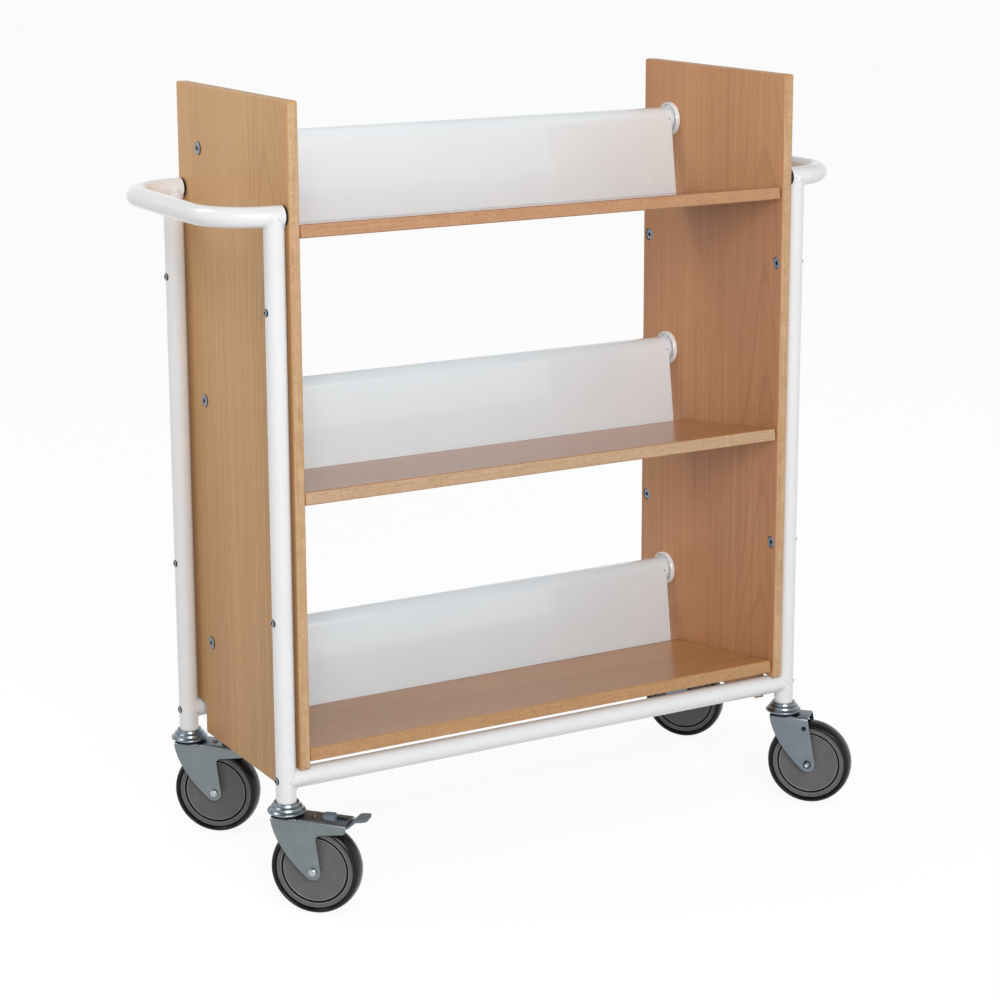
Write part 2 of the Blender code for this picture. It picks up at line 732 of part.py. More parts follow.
def shoe_bottom():
    """Height of the brake shoe at rest, from the pivot, that just clears the tyre with the pedal down."""
    reach = SHOE_OFFSET + SHOE_LENGTH / 2
    lowest = None
    for offset in (SHOE_OFFSET - SHOE_LENGTH / 2, SHOE_OFFSET, reach):
        along = PIVOT_X + offset - TRAIL
        tyre = WHEEL_R + math.sqrt(WHEEL_R**2 - along**2) - PIVOT_Z
        height = tyre + SHOE_GAP + offset * math.sin(PEDAL_STROKE)
        lowest = height if lowest is None else max(lowest, height)
    return lowest


def make_pedal(name, matrix, slate):
    """Rocking lever with its origin on the pivot: button, brake shoe and rounded tab."""
    name = f"brake_pedal_{name}"
    line = [PEDAL_LINE[0]] + [(*p, 2 * PEDAL_SHEET) for p in PEDAL_LINE[1:-1]] + [PEDAL_LINE[-1]]
    lever = strip(rounded(line, 4, closed=False), PEDAL_SHEET)
    frame = matrix @ Matrix.Translation((PIVOT_X, 0, PIVOT_Z))
    pedal = add_part(name, prism(name, lever, -TAB_WIDTH, TAB_WIDTH, "Y", 40), slate, frame)

    def shape(label, mesh, operation="UNION"):
        combine(pedal, add_cutter(f"{name}_{label}", mesh, frame), operation)

    narrow = PEDAL_WIDTH / 2
    broad = TAB_WIDTH / 2
    back = PEDAL_LINE[0][0] - PEDAL_SHEET
    tip = PEDAL_LINE[-1][0] - PEDAL_SHEET / 4
    neck = tip - TAB_LENGTH
    one_side = [(back, narrow), (neck, narrow), (neck, broad, broad - narrow), (tip, broad, TAB_CORNER)]
    other_side = [(x, -y, *radius) for x, y, *radius in reversed(one_side)]
    plan = rounded(one_side + other_side, 3)
    shape("plan", prism("plan", plan, -FORK_TOP, FORK_TOP, "Z"), "INTERSECT")

    start = TRAIL + SLOT_START + 2 * FIT_GAP - PIVOT_X
    half = BUTTON_WIDTH / 2
    button = rounded(
        [
            (start, -half, BUTTON_CORNER),
            (start + BUTTON_LENGTH, -half, BUTTON_CORNER),
            (start + BUTTON_LENGTH, half, BUTTON_CORNER),
            (start, half, BUTTON_CORNER),
        ],
        2,
    )
    button_top = FORK_TOP + BUTTON_RISE - PIVOT_Z
    shape("button", prism("button", button, 0, button_top, "Z"))
    end = FORK_INNER + PIVOT_SOCKET
    shape("trunnions", rod("trunnions", PIVOT_R, -end, end, "Y", HOLE_SEGMENTS))
    low = SHOE_OFFSET - SHOE_LENGTH / 2
    high = SHOE_OFFSET + SHOE_LENGTH / 2
    shoe = [(low, 0), (low, shoe_bottom()), (high, shoe_bottom()), (high, 0)]
    shape("shoe", prism("shoe", shoe, -SHOE_WIDTH / 2, SHOE_WIDTH / 2, "Y"))


def build():
    clear_scene()
    wood = paint("beech", (0.56, 0.36, 0.20), 0.42, 0.0)
    white = paint("white_paint", (0.84, 0.84, 0.83), 0.3, 0.0)
    zinc = paint("zinc", (0.42, 0.45, 0.48), 0.35, 0.9)
    slate = paint("slate_plastic", (0.10, 0.13, 0.16), 0.45, 0.0)
    grey = paint("grey_plastic", (0.13, 0.13, 0.13), 0.5, 0.0)
    rubber = paint("black_rubber", (0.02, 0.02, 0.02), 0.55, 0.0)
    black = paint("black_plastic", (0.01, 0.01, 0.01), 0.4, 0.0)

    for side, end in ((-1, "left"), (1, "right")):
        make_end_panel(side, f"end_panel_{end}", wood)
        tube(f"handle_{end}", handle_stations(side, HANDLE_START_X), white)
        for tier in TIERS:
            make_flange(tier, side, end, white)
        for front, row in ((-1, "front"), (1, "rear")):
            name = f"{row}_{end}"
            make_leg(side, front, name, white)
            make_plug(side, front, name, black)
            foot = Matrix.Translation((side * LEG_X, front * LEG_Y, 0))
            caster = foot @ Matrix.Rotation(SWIVEL_ANGLES[name], 4, "Z")
            axle = caster @ Matrix.Translation((TRAIL, 0, WHEEL_R))
            make_swivel_head(name, foot, zinc)
            make_fork(name, end == "left", caster, zinc)
            make_wheel(name, axle @ Matrix.Rotation(-math.pi / 2, 4, "X"), grey, rubber, zinc)
            if end == "left":
                make_pedal(name, caster, slate)
    for tier in TIERS:
        make_shelf(tier, wood)
        make_book_stop(tier, white)
    for front, row in ((-1, "front"), (1, "rear")):
        make_crossbar(front, row, white)


build()
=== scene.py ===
"""Looks of the book trolley: smooth metalwork, fasteners, finishes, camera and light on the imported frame.

Lengths are in metres and angles in radians. Every piece stands where its solid stands in the frame.
"""

import json
import math

import bpy
from mathutils import Matrix, Vector


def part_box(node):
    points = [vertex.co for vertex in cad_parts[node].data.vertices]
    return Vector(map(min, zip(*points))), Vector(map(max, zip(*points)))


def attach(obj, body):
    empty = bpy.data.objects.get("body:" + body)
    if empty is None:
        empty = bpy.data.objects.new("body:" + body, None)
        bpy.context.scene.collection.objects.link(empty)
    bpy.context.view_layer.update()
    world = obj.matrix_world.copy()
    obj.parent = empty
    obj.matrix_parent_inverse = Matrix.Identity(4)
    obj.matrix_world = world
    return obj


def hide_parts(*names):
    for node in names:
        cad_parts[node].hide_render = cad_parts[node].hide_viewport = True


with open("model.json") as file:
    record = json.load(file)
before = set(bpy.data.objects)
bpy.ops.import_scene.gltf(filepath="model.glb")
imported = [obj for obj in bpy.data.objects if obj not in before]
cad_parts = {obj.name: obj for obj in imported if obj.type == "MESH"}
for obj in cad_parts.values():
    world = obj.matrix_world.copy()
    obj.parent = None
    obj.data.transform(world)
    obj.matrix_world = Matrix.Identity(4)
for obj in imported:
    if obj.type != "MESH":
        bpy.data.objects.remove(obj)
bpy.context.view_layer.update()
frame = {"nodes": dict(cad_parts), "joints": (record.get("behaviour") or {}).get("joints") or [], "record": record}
JOINTS = {joint["name"]: joint for joint in frame["joints"]}
MOUNTS = {mount["name"]: mount for mount in frame["record"]["mounts"]}


def middle(node):
    low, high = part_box(node)
    return (low + high) / 2


# Names of the repeated places
ENDS = {"left": -1, "right": 1}
ROWS = {"front": -1, "rear": 1}
TIERS = ("bottom", "middle", "top")
CORNERS = {f"{row}_{end}": (ENDS[end], ROWS[row]) for end in ENDS for row in ROWS}
BRAKED = ("front_left", "rear_left")

# Wooden box
PANEL_OUTER_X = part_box("end_panel_right")[1].x
PANEL_INNER_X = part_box("end_panel_right")[0].x
BOX_MIDDLE_Z = middle("end_panel_right").z
SHELF_TILT = math.atan2(MOUNTS["top_shelf"]["axis"][1], MOUNTS["top_shelf"]["axis"][2])
FACE_MARGIN = 0.0005  # from a panel's outer face, within which its edge keeps the face's veneer

# Tubes
TUBE_R = (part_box("handle_right")[1].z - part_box("handle_right")[0].z) / 2
TUBE_WALL = 0.0015
TUBE_STEPS = 48
LEG_X = middle("leg_front_right").x
LEG_Y = middle("leg_rear_right").y
LEG_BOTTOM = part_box("leg_front_right")[0].z
HANDLE_Z = middle("handle_right").z
HANDLE_START_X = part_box("handle_right")[0].x
HANDLE_BEND_R = 0.075
HANDLE_BEND_STEPS = 20
GRIP_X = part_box("handle_right")[1].x - TUBE_R
BEND_X = GRIP_X - HANDLE_BEND_R
BEND_Y = LEG_Y - HANDLE_BEND_R
CROSSBAR_Z = middle("crossbar_front").z
BEAD_R = 0.0013
BEAD_STEPS = 3
WELD_REACH = 1.1 * TUBE_R  # of a coped end, from the other tube's axis
PLUG_R = 0.0118  # fits inside a tube, as the casters' stems do
PLUG_LENGTH = 0.015

# Book stops, in a frame on the roll's axis with Z square to the shelf
ROLL_R = 0.019
ROLL_TURN = math.radians(318)
ROLL_STEPS = 44
STOP_SHEET = 0.0015
STOP_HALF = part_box("book_stop_top")[1].x
STOP_FOOT = -0.1308
STOP_EDGE = 0.0004
FLANGE_R = 0.026
FLANGE_DEPTH = 0.0068
FLANGE_LIP = 0.0022
FLANGE_FLOOR = 0.0024
SPIGOT_R = 0.017
SPIGOT_TIP = 0.0255  # from the panel

# Fasteners
PANEL_BOLT_R = 0.0092
PANEL_BOLT_PROUD = 0.0018
PANEL_BOLT_SEAT = -0.0028  # underside of a head, inside the panel
PANEL_BOLT_SHADE_R = 0.0080  # outside it a head's edge is painted black as shade
PANEL_KEY_R = 0.0033
PANEL_KEY_DEPTH = 0.0018
SLEEVE_NUT_R = 0.0083
SLEEVE_NUT_RIM_R = 0.0090
SLEEVE_NUT_SINK = 0.0012
SLEEVE_NUT_KEY_DEPTH = 0.0011
LEG_BOLT_R = 0.0055
LEG_BOLT_SHADE_RING = 0.0007  # width of the ring round a leg bolt's dome that is painted black as shade
LEG_BOLT_HEIGHTS = (0.8285, 0.4078)
LEG_KEY_R = 0.0023
LEG_KEY_DEPTH = 0.0014
HEAD_EDGE = 0.00018
PIN_R = 0.0013
PIN_INSET = 0.003  # from a roll's end
PIN_TURN = math.radians(91)  # from the roll's top to its front

# Casters, in a frame under the swivel with X towards the axle and Y along it
TRAIL = 0.0422
WHEEL_R = JOINTS["roll_front_left"]["pos_m"][2]
RIM_R = 0.055
TYRE_HALF = 0.016
FACE_HALF = 0.01175
FACE_SINK = 0.0008  # depth below a wheel's face at which its groove starts
GROOVE_R = 0.0465
GROOVE_HALF = 0.0013
LIP_REACH = 0.0026  # of the lips painted lighter as a highlight, from the groove's middle
HUB_HALF = 0.0185
AXLE_R = 0.0041
AXLE_HEAD_H = 0.0036
SOCKET_R = 0.0026
SOCKET_TOOL = 0.005  # length of the tool that cuts an axle's sockets
FIT_GAP = 0.0003  # left between pieces that meet
FORK_OUTER = 0.0212
FORK_TOP = 0.1367
FORK_EDGE = 0.0011
FORK_HOLE_R = 0.0037
FORK_HOLE = (TRAIL - 0.0062, 0, FORK_TOP - 0.0168)
DART_SIZE = (0.012, 0.0034, 0.0018)
DART_EDGE = 0.0008
DART_X = 0.0145
DART_SINK = 0.0005  # into the fold
SKIRT_UNDER = 0.1400
COLLAR_TOP = 0.1546
STEM_LENGTH = 0.045
RACE_R = 0.0215
KING_R = 0.0060
KING_RIVET_TOP = 0.1340
PEDAL_EDGE = 0.0005
CROWN_RIVET_X = 0.0395

# Tolerances
MERGE_GAP = 1e-6
SOLID_MERGE_GAP = 1e-5
ON_AXIS = 1e-5
SLIVER = 2e-6
FLAT_ANGLE = math.radians(1)
SLACK = 1.02  # takes in the whole wall of a round hole


def alone():
    """Leave edit mode and drop every selection."""
    if bpy.context.mode != "OBJECT":
        bpy.ops.object.mode_set(mode="OBJECT")
    bpy.ops.object.select_all(action="DESELECT")


def take(piece):
    """Make a piece the only one selected."""
    alone()
    piece.select_set(True)
    bpy.context.view_layer.objects.active = piece


def begin(name, primitive, **size):
    """Add a primitive at its size and place, and open it with all of it selected."""
    alone()
    getattr(bpy.ops.mesh, f"primitive_{primitive}_add")(**size)
    piece = bpy.context.object
    piece.name = piece.data.name = name
    bpy.ops.object.transform_apply()
    bpy.ops.object.mode_set(mode="EDIT")
    bpy.ops.mesh.select_all(action="SELECT")
    return piece


def pick_edges(piece, test):
    """Select only the edges that pass a test on their middle and direction."""
    bpy.ops.mesh.select_mode(type="EDGE")
    bpy.ops.mesh.select_all(action="DESELECT")
    bpy.ops.object.mode_set(mode="OBJECT")
    mesh = piece.data
    for edge in mesh.edges:
        start, end = (mesh.vertices[index].co for index in edge.vertices)
        edge.select = test((start + end) / 2, end - start)
    bpy.ops.object.mode_set(mode="EDIT")


def push(x=0, y=0, z=0):
    """Extrude what is selected."""
    bpy.ops.mesh.extrude_region_move(TRANSFORM_OT_translate={"value": (x, y, z)})


def close_up():
    """Merge doubled points and turn every face outwards."""
    bpy.ops.mesh.select_all(action="SELECT")
    bpy.ops.mesh.remove_doubles(threshold=MERGE_GAP)
    bpy.ops.mesh.normals_make_consistent(inside=False)
    bpy.ops.object.mode_set(mode="OBJECT")


def modify(piece, kind, **settings):
    """Add a modifier and apply it."""
    take(piece)
    modifier = piece.modifiers.new(kind.lower(), kind)
    for key, value in settings.items():
        setattr(modifier, key, value)
    bpy.ops.object.modifier_apply(modifier=modifier.name)


def soften(piece, width, segments=2, angle=35):
    """Round the edges that are sharper than an angle in degrees."""
    modify(piece, "BEVEL", width=width, segments=segments, limit_method="ANGLE",
           angle_limit=math.radians(angle), harden_normals=False)


def put(piece, place):
    """Move a piece to its place and apply that to its mesh."""
    take(piece)
    piece.matrix_world = place
    bpy.ops.object.transform_apply()
    return piece


def copy_to(piece, name, place):
    """Copy a piece, with a mesh of its own, to a place given from where the piece is."""
    twin = bpy.data.objects.new(name, piece.data.copy())
    bpy.context.scene.collection.objects.link(twin)
    return put(twin, place)


def copy_solid(node, name):
    """Copy a solid of the frame as one joined mesh with its flat faces whole again."""
    twin = bpy.data.objects.new(name, frame["nodes"][node].data.copy())
    bpy.context.scene.collection.objects.link(twin)
    take(twin)
    bpy.ops.mesh.customdata_custom_splitnormals_clear()
    bpy.ops.object.mode_set(mode="EDIT")
    bpy.ops.mesh.select_all(action="SELECT")
    bpy.ops.mesh.remove_doubles(threshold=SOLID_MERGE_GAP)
    bpy.ops.mesh.dissolve_limited(angle_limit=FLAT_ANGLE)
    bpy.ops.object.mode_set(mode="OBJECT")
    return twin


def dress(piece, body, finish, slot, *nodes, angle=35):
    """Give a piece its finish, its body and the solids that it stands for."""
    take(piece)
    bpy.ops.object.shade_smooth_by_angle(angle=math.radians(angle))
    piece.data.materials.clear()
    piece.data.materials.append(finish)
    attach(piece, body)
    if nodes:
        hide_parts(*nodes)
    return piece


def paint_faces(piece, finish, test):
    """Give another finish to the faces that pass a test on their middle and direction."""
    piece.data.materials.append(finish)
    last = len(piece.data.materials) - 1
    for face in piece.data.polygons:
        if test(face.center, face.normal):
            face.material_index = last


def turn(name, profile, steps, ring=False):
    """Turn a profile of (radius, height) points about Z, one ring of a circle after another."""
    (radius, height), *others = profile
    piece = begin(name, "circle", vertices=steps, radius=radius, location=(0, 0, height),
                  fill_type="NOTHING" if ring else "NGON")
    for next_radius, next_height in others:
        push(z=next_height - height)
        share = next_radius / radius
        bpy.ops.transform.resize(value=(share, share, 1), center_override=(0, 0, next_height))
        radius, height = next_radius, next_height
    if ring:
        bpy.ops.mesh.select_all(action="DESELECT")
        bpy.ops.mesh.select_non_manifold(use_wire=False, use_multi_face=False, use_non_contiguous=False)
        bpy.ops.mesh.bridge_edge_loops()
    close_up()
    return piece


def cut(piece, tool):
    """Cut a tool's shape out of a piece, clear slivers that it leaves and delete the tool."""
    modify(piece, "BOOLEAN", object=tool, operation="DIFFERENCE", solver="EXACT")
    bpy.ops.object.mode_set(mode="EDIT")
    bpy.ops.mesh.select_all(action="SELECT")
    bpy.ops.mesh.dissolve_degenerate(threshold=SLIVER)
    bpy.ops.object.mode_set(mode="OBJECT")
    bpy.data.objects.remove(tool)


def bead(piece, name, test):
    """Run a weld bead along the edges of a tube's end that pass a test."""
    take(piece)
    bpy.ops.object.mode_set(mode="EDIT")
    pick_edges(piece, test)
    bpy.ops.mesh.duplicate()
    bpy.ops.mesh.separate(type="SELECTED")
    bpy.ops.object.mode_set(mode="OBJECT")
    weld = next(item for item in bpy.context.selected_objects if item is not piece)
    take(weld)
    bpy.ops.object.convert(target="CURVE")
    weld.data.bevel_depth = BEAD_R
    weld.data.bevel_resolution = BEAD_STEPS
    bpy.ops.object.convert(target="MESH")
    weld.name = weld.data.name = name
    return weld


class Field:
    """One value over a surface, with sums on it written as Python expressions."""

    def __init__(self, graph, socket):
        self.graph = graph
        self.socket = socket

    def sum_with(self, operation, first, second):
        return self.graph.node("Math", {"operation": operation}, {0: first, 1: second})

    def __add__(self, other):
        return self.sum_with("ADD", self, other)

    def __sub__(self, other):
        return self.sum_with("SUBTRACT", self, other)

    def __rsub__(self, other):
        return self.sum_with("SUBTRACT", other, self)

    def __mul__(self, other):
        return self.sum_with("MULTIPLY", self, other)

    def __gt__(self, other):
        return self.sum_with("GREATER_THAN", self, other)

    __radd__ = __add__
    __rmul__ = __mul__


class Graph:
    """A node tree whose nodes are added one at a time."""

    def __init__(self, tree):
        self.tree = tree

    def node(self, kind, settings=None, inputs=None, output=0):
        """Add a node: its settings come first, then the values or links of its sockets."""
        node = self.tree.nodes.new(f"ShaderNode{kind}")
        for key, value in (settings or {}).items():
            if key == "stops":
                while len(node.color_ramp.elements) < len(value):
                    node.color_ramp.elements.new(1)
                for element, (position, colour) in zip(node.color_ramp.elements, value):
                    element.position = position
                    element.color = rgba(colour)
            else:
                setattr(node, key, value)
        for key, value in (inputs or {}).items():
            if isinstance(key, int):
                socket = node.inputs[key]
            else:
                socket = next(s for s in node.inputs if s.enabled and s.name == key)
            if isinstance(value, Field):
                self.tree.links.new(value.socket, socket)
            else:
                socket.default_value = value
        outputs = [s for s in node.outputs if s.enabled]
        chosen = outputs[output] if isinstance(output, int) else node.outputs[output]
        return Field(self, chosen)

    def axis(self, place, letter):
        return self.node("SeparateXYZ", None, {"Vector": place}, letter)

    def between(self, value, low, high, start=0.0, end=1.0):
        """Start to end as a value runs from low to high, held at both."""
        return self.node("MapRange", {"clamp": True}, {
            "Value": value, "From Min": low, "From Max": high, "To Min": start, "To Max": end})

    def backdrop_rays(self):
        """1 for the rays that show what stands behind the object: seen, mirrored or through glass."""
        kinds = ("Camera", "Glossy", "Transmission")
        seen, reflected, through = (self.node("LightPath", output=f"Is {kind} Ray") for kind in kinds)
        return (seen + reflected + through) > 0.5


class Finish(Graph):
    """A material, with the patterns that the finishes are made of."""

    def __init__(self, name, constants=None):
        self.material = bpy.data.materials.new(name)
        self.material.use_nodes = True
        super().__init__(self.material.node_tree)
        self.shader = self.tree.nodes["Principled BSDF"]
        for socket, value in (constants or {}).items():
            self.shader.inputs[socket].default_value = value
        self.place = self.node("TexCoord", output="Object")

    def stretched(self, x, y, z):
        """Object coordinates counted in cells of a pattern along each axis, per metre."""
        return self.node("Mapping", None, {"Vector": self.place, "Scale": (x, y, z)})

    def noise(self, place, scale=1.0, detail=2.0, rough=0.5):
        return self.node("TexNoise", None, {
            "Vector": place, "Scale": scale, "Detail": detail, "Roughness": rough})

    def blend(self, share, first, second):
        return self.node("Mix", {"data_type": "RGBA"}, {"Factor": share, "A": first, "B": second})

    def bump(self, height, depth, strength=1.0):
        return self.node("Bump", None, {"Height": height, "Strength": strength, "Distance": depth})

    def set(self, **fields):
        for socket, value in fields.items():
            self.tree.links.new(value.socket, self.shader.inputs[socket.replace("_", " ").title()])
        return self.material


def srgb(red, green, blue):
    """A colour as read on a screen, from 0 to 255, made linear."""
    share = [value / 255 for value in (red, green, blue)]
    return tuple(s / 12.92 if s <= 0.04045 else ((s + 0.055) / 1.055) ** 2.4 for s in share)


def rgba(colour):
    return (*colour, 1.0)


def beech(name, along, pale, mid, dark, line, seed, painted_falloff, shine, coat, coat_roughness):
    """Varnished flat-sawn beech: slow bands, arched growth lines along one axis, fine grain and short rays.

    Its tone rises by the painted falloff in each metre along the grain: painted shade, darker where the light
    falls off.
    """
    finish = Finish(name, {"Coat Roughness": coat_roughness, "Specular IOR Level": shine})

    def cells(across, lengthwise):
        counts = [across] * 3
        counts[along] = lengthwise
        return finish.stretched(*counts)

    drift = finish.noise(cells(across=7.0, lengthwise=0.6), detail=3.0)
    wander = finish.noise(cells(across=5.0, lengthwise=1.2))
    offset = finish.axis(finish.place, "Y") + wander * 0.16 + seed
    length = finish.axis(finish.place, "XYZ"[along])
    arches = length * 0.35 + offset * offset * 45.0 + drift * 0.12
    growth = finish.between(finish.node("Math", {"operation": "SINE"}, {0: arches * 110.0}), 0.75, 1.0)
    figure = growth * finish.between(wander, 0.34, 0.60)
    streak = finish.noise(cells(across=150.0, lengthwise=1.1), detail=3.0, rough=0.6)
    grain = finish.noise(cells(across=420.0, lengthwise=3.5), detail=3.0, rough=0.6)
    ray = finish.between(finish.noise(cells(across=1300.0, lengthwise=150.0), detail=1.0), 0.60, 0.70)
    tone = finish.between(drift * 0.6 + streak * 0.5 + grain * 0.6, 0.57, 1.13)
    # painted shade: the tone changes along the grain by the painted falloff
    tone = tone + (length - BOX_MIDDLE_Z) * painted_falloff
    colour = finish.node("ValToRGB", {"stops": [(0.0, dark), (0.5, mid), (1.0, pale)]}, {"Fac": tone})
    colour = finish.blend(figure * 0.22 + ray * 0.32, colour, rgba(line))
    return finish.set(
        base_color=colour,
        roughness=grain * 0.14 + 0.40,
        coat_weight=drift * 0.1 + coat,
        normal=finish.bump(grain - ray, depth=0.00010, strength=0.3),
    )


def beech_edge(name, along, pale, mid, fleck):
    """Solid beech lipping: paler, with the cut ends of the rays as small flecks."""
    finish = Finish(name)
    lines = [520.0, 520.0, 520.0]
    rays = [620.0, 620.0, 620.0]
    lines[along], rays[along] = 9.0, 300.0
    grain = finish.noise(finish.stretched(*lines))
    patch = finish.noise(finish.place, 55.0)
    ray = finish.between(finish.noise(finish.stretched(*rays), detail=1.5), 0.52, 0.68)
    colour = finish.blend(finish.between(grain * 0.7 + patch * 0.5, 0.35, 0.8), rgba(mid), rgba(pale))
    colour = finish.blend(ray * 0.5, colour, rgba(fleck))
    return finish.set(base_color=colour, roughness=grain * 0.15 + 0.42,
                      normal=finish.bump(grain - ray, depth=0.00012, strength=0.4))


def powder_coat(name, colour, shade):
    """White powder coat: faint orange peel, soft unevenness and light rub marks."""
    finish = Finish(name, {"Coat Roughness": 0.05})
    peel = finish.noise(finish.place, 620.0)
    cloud = finish.noise(finish.place, 9.0)
    marks = finish.noise(finish.stretched(140.0, 140.0, 30.0), detail=3.0, rough=0.65)
    rub = finish.between(marks, 0.66, 0.78)
    tint = finish.blend(finish.between(cloud, 0.3, 0.75) * 0.35 + rub * 0.15, rgba(colour), rgba(shade))
    return finish.set(base_color=tint, roughness=peel * 0.05 + rub * 0.06 + 0.24,
                      coat_weight=cloud * 0.15 + 0.8, normal=finish.bump(peel, depth=0.00005, strength=0.12))


def plated(name, colour, shade, roughness, spangle):
    """Plated steel: cloudy sheen, fine rub lines and small pits."""
    finish = Finish(name, {"Metallic": 1.0})
    cloud = finish.noise(finish.place, spangle, detail=3.0)
    rub = finish.noise(finish.stretched(700.0, 700.0, 90.0))
    pit = finish.between(finish.noise(finish.place, 1500.0, detail=1.0), 0.66, 0.76)
    tint = finish.blend(finish.between(cloud * 0.7 + rub * 0.3, 0.3, 0.75), rgba(shade), rgba(colour))
    return finish.set(base_color=tint, roughness=cloud * 0.08 + pit * 0.10 + roughness,
                      normal=finish.bump(rub * 0.4 - pit, depth=0.00002, strength=0.15))


def moulded(name, colour, speck, roughness, grit, shine=0.4):
    """Moulded plastic: fine speckle and a matt, slightly pebbled skin."""
    finish = Finish(name, {"Specular IOR Level": shine})
    grain = finish.noise(finish.place, grit, rough=0.6)
    cloud = finish.noise(finish.place, 40.0, detail=3.0)
    dots = finish.between(finish.noise(finish.place, grit * 1.7, detail=0.0), 0.56, 0.72)
    tint = finish.blend(dots * 0.55 + finish.between(cloud, 0.35, 0.7) * 0.35, rgba(colour), rgba(speck))
    return finish.set(base_color=tint, roughness=cloud * 0.15 + roughness,
                      normal=finish.bump(grain, depth=0.00008, strength=0.3))


def tread_rubber(name, colour, worn):
    """Rubber: dark and rather glossy, with a thin dusty bloom where it has rolled."""
    finish = Finish(name, {"Specular IOR Level": 0.25})
    bloom = finish.between(finish.noise(finish.place, 60.0, detail=4.0, rough=0.65), 0.45, 0.8)
    grain = finish.noise(finish.place, 1100.0)
    tint = finish.blend(bloom * 0.4, rgba(colour), rgba(worn))
    return finish.set(base_color=tint, roughness=bloom * 0.2 + 0.2,
                      normal=finish.bump(grain, depth=0.00005, strength=0.25))


# Axes that the grain runs along
LENGTHWISE = 0
UPRIGHT = 2

PANEL_WOOD = {
    # the left panel's painted falloff paints it darker towards the bottom, as shade where its light falls off
    "left": beech("left panel beech", UPRIGHT,
                  srgb(211, 166, 115), srgb(197, 151, 99), srgb(177, 132, 83), srgb(154, 97, 62),
                  seed=0.02, painted_falloff=0.65, shine=0.35, coat=0.02, coat_roughness=0.3),
    "right": beech("right panel beech", UPRIGHT,
                   srgb(210, 158, 112), srgb(196, 141, 97), srgb(177, 123, 80), srgb(150, 88, 58),
                   seed=0.05, painted_falloff=0.0, shine=0.35, coat=0.04, coat_roughness=0.3),
}
SHELF_WOOD = {
    "bottom": beech("bottom shelf beech", LENGTHWISE,
                    srgb(199, 149, 96), srgb(187, 135, 83), srgb(170, 118, 70), srgb(132, 81, 46),
                    seed=0.06, painted_falloff=0.0, shine=0.05, coat=0.60, coat_roughness=0.24),
    "middle": beech("middle shelf beech", LENGTHWISE,
                    srgb(193, 140, 95), srgb(181, 127, 83), srgb(165, 111, 70), srgb(132, 80, 47),
                    seed=0.13, painted_falloff=0.0, shine=0.05, coat=0.68, coat_roughness=0.2),
    "top": beech("top shelf beech", LENGTHWISE,
                 srgb(167, 118, 80), srgb(156, 106, 69), srgb(141, 92, 58), srgb(118, 70, 40),
                 seed=0.20, painted_falloff=0.0, shine=0.05, coat=0.95, coat_roughness=0.12),
}
PANEL_LIPPING = beech_edge("panel lipping", UPRIGHT,
                           srgb(203, 169, 130), srgb(170, 131, 92), srgb(148, 101, 64))
SHELF_LIPPING = {
    "bottom": beech_edge("bottom shelf lipping", LENGTHWISE,
                         srgb(183, 143, 98), srgb(168, 125, 82), srgb(138, 92, 56)),
    "middle": beech_edge("middle shelf lipping", LENGTHWISE,
                         srgb(193, 164, 131), srgb(177, 143, 110), srgb(146, 104, 74)),
    "top": beech_edge("top shelf lipping", LENGTHWISE,
                      srgb(189, 144, 107), srgb(173, 125, 88), srgb(142, 90, 58)),
}
WHITE = powder_coat("white powder coat", srgb(227, 228, 229), srgb(218, 219, 221))
STOP_WHITE = powder_coat("white stop enamel", srgb(231, 235, 238), srgb(223, 227, 231))
# Cooler whites painted on the stops' fronts, one per tier, to cancel the warm light that the wood bounces onto
# them
STOP_FRONT_PAINTED_COOL = {
    "bottom": powder_coat("bottom stop front painted cool against bounce", srgb(223, 235, 242), srgb(215, 227, 235)),
    "middle": powder_coat("middle stop front painted cool against bounce", srgb(229, 240, 246), srgb(221, 232, 239)),
    "top": powder_coat("top stop front painted cool against bounce", srgb(231, 237, 240), srgb(223, 229, 233)),
}
ZINC = plated("bright zinc", srgb(146, 155, 162), srgb(124, 133, 141), 0.22, 90.0)
BRAKED_STEEL = plated("grey pressed steel", srgb(130, 138, 139), srgb(120, 128, 130), 0.31, 45.0)
# Plain forks: the same pressed steel as the braked ones, with a bluer tint painted in as a reflection
PLAIN_STEEL_WITH_PAINTED_REFLECTION = plated("pressed steel with painted blue reflection", srgb(127, 136, 143), srgb(117, 126, 134), 0.31, 45.0)
# Brighter steel painted on the forks' bevelled edges as a highlight
EDGE_HIGHLIGHT_STEEL = plated("steel edge painted highlight", srgb(172, 182, 186), srgb(152, 162, 167), 0.28, 200.0)
BRIGHT_STEEL = plated("bright steel", srgb(186, 194, 197), srgb(164, 172, 176), 0.14, 200.0)
BOLT_STEEL = plated("grey bolt steel", srgb(150, 156, 162), srgb(128, 134, 141), 0.30, 300.0)
# Nuts inside the panels are painted bluer than the bolts, to cancel the brown reflection of the wood facing them
NUT_STEEL_PAINTED_BLUE = plated("nut steel painted blue against wood reflection", srgb(142, 154, 170), srgb(120, 132, 148), 0.30, 300.0)
DULL_STEEL = plated("dull axle steel", srgb(94, 100, 106), srgb(78, 84, 90), 0.34, 300.0)
DARK_STEEL = plated("dark steel", srgb(52, 53, 56), srgb(34, 35, 38), 0.45, 300.0)
BRASS = plated("dull brass", srgb(152, 138, 114), srgb(110, 100, 84), 0.30, 400.0)
SLATE = moulded("slate pedal", srgb(94, 104, 114), srgb(112, 122, 132), 0.42, 700.0)
GREY_PLASTIC = moulded("grey wheel plastic", srgb(89, 89, 90), srgb(110, 110, 111), 0.40, 800.0)
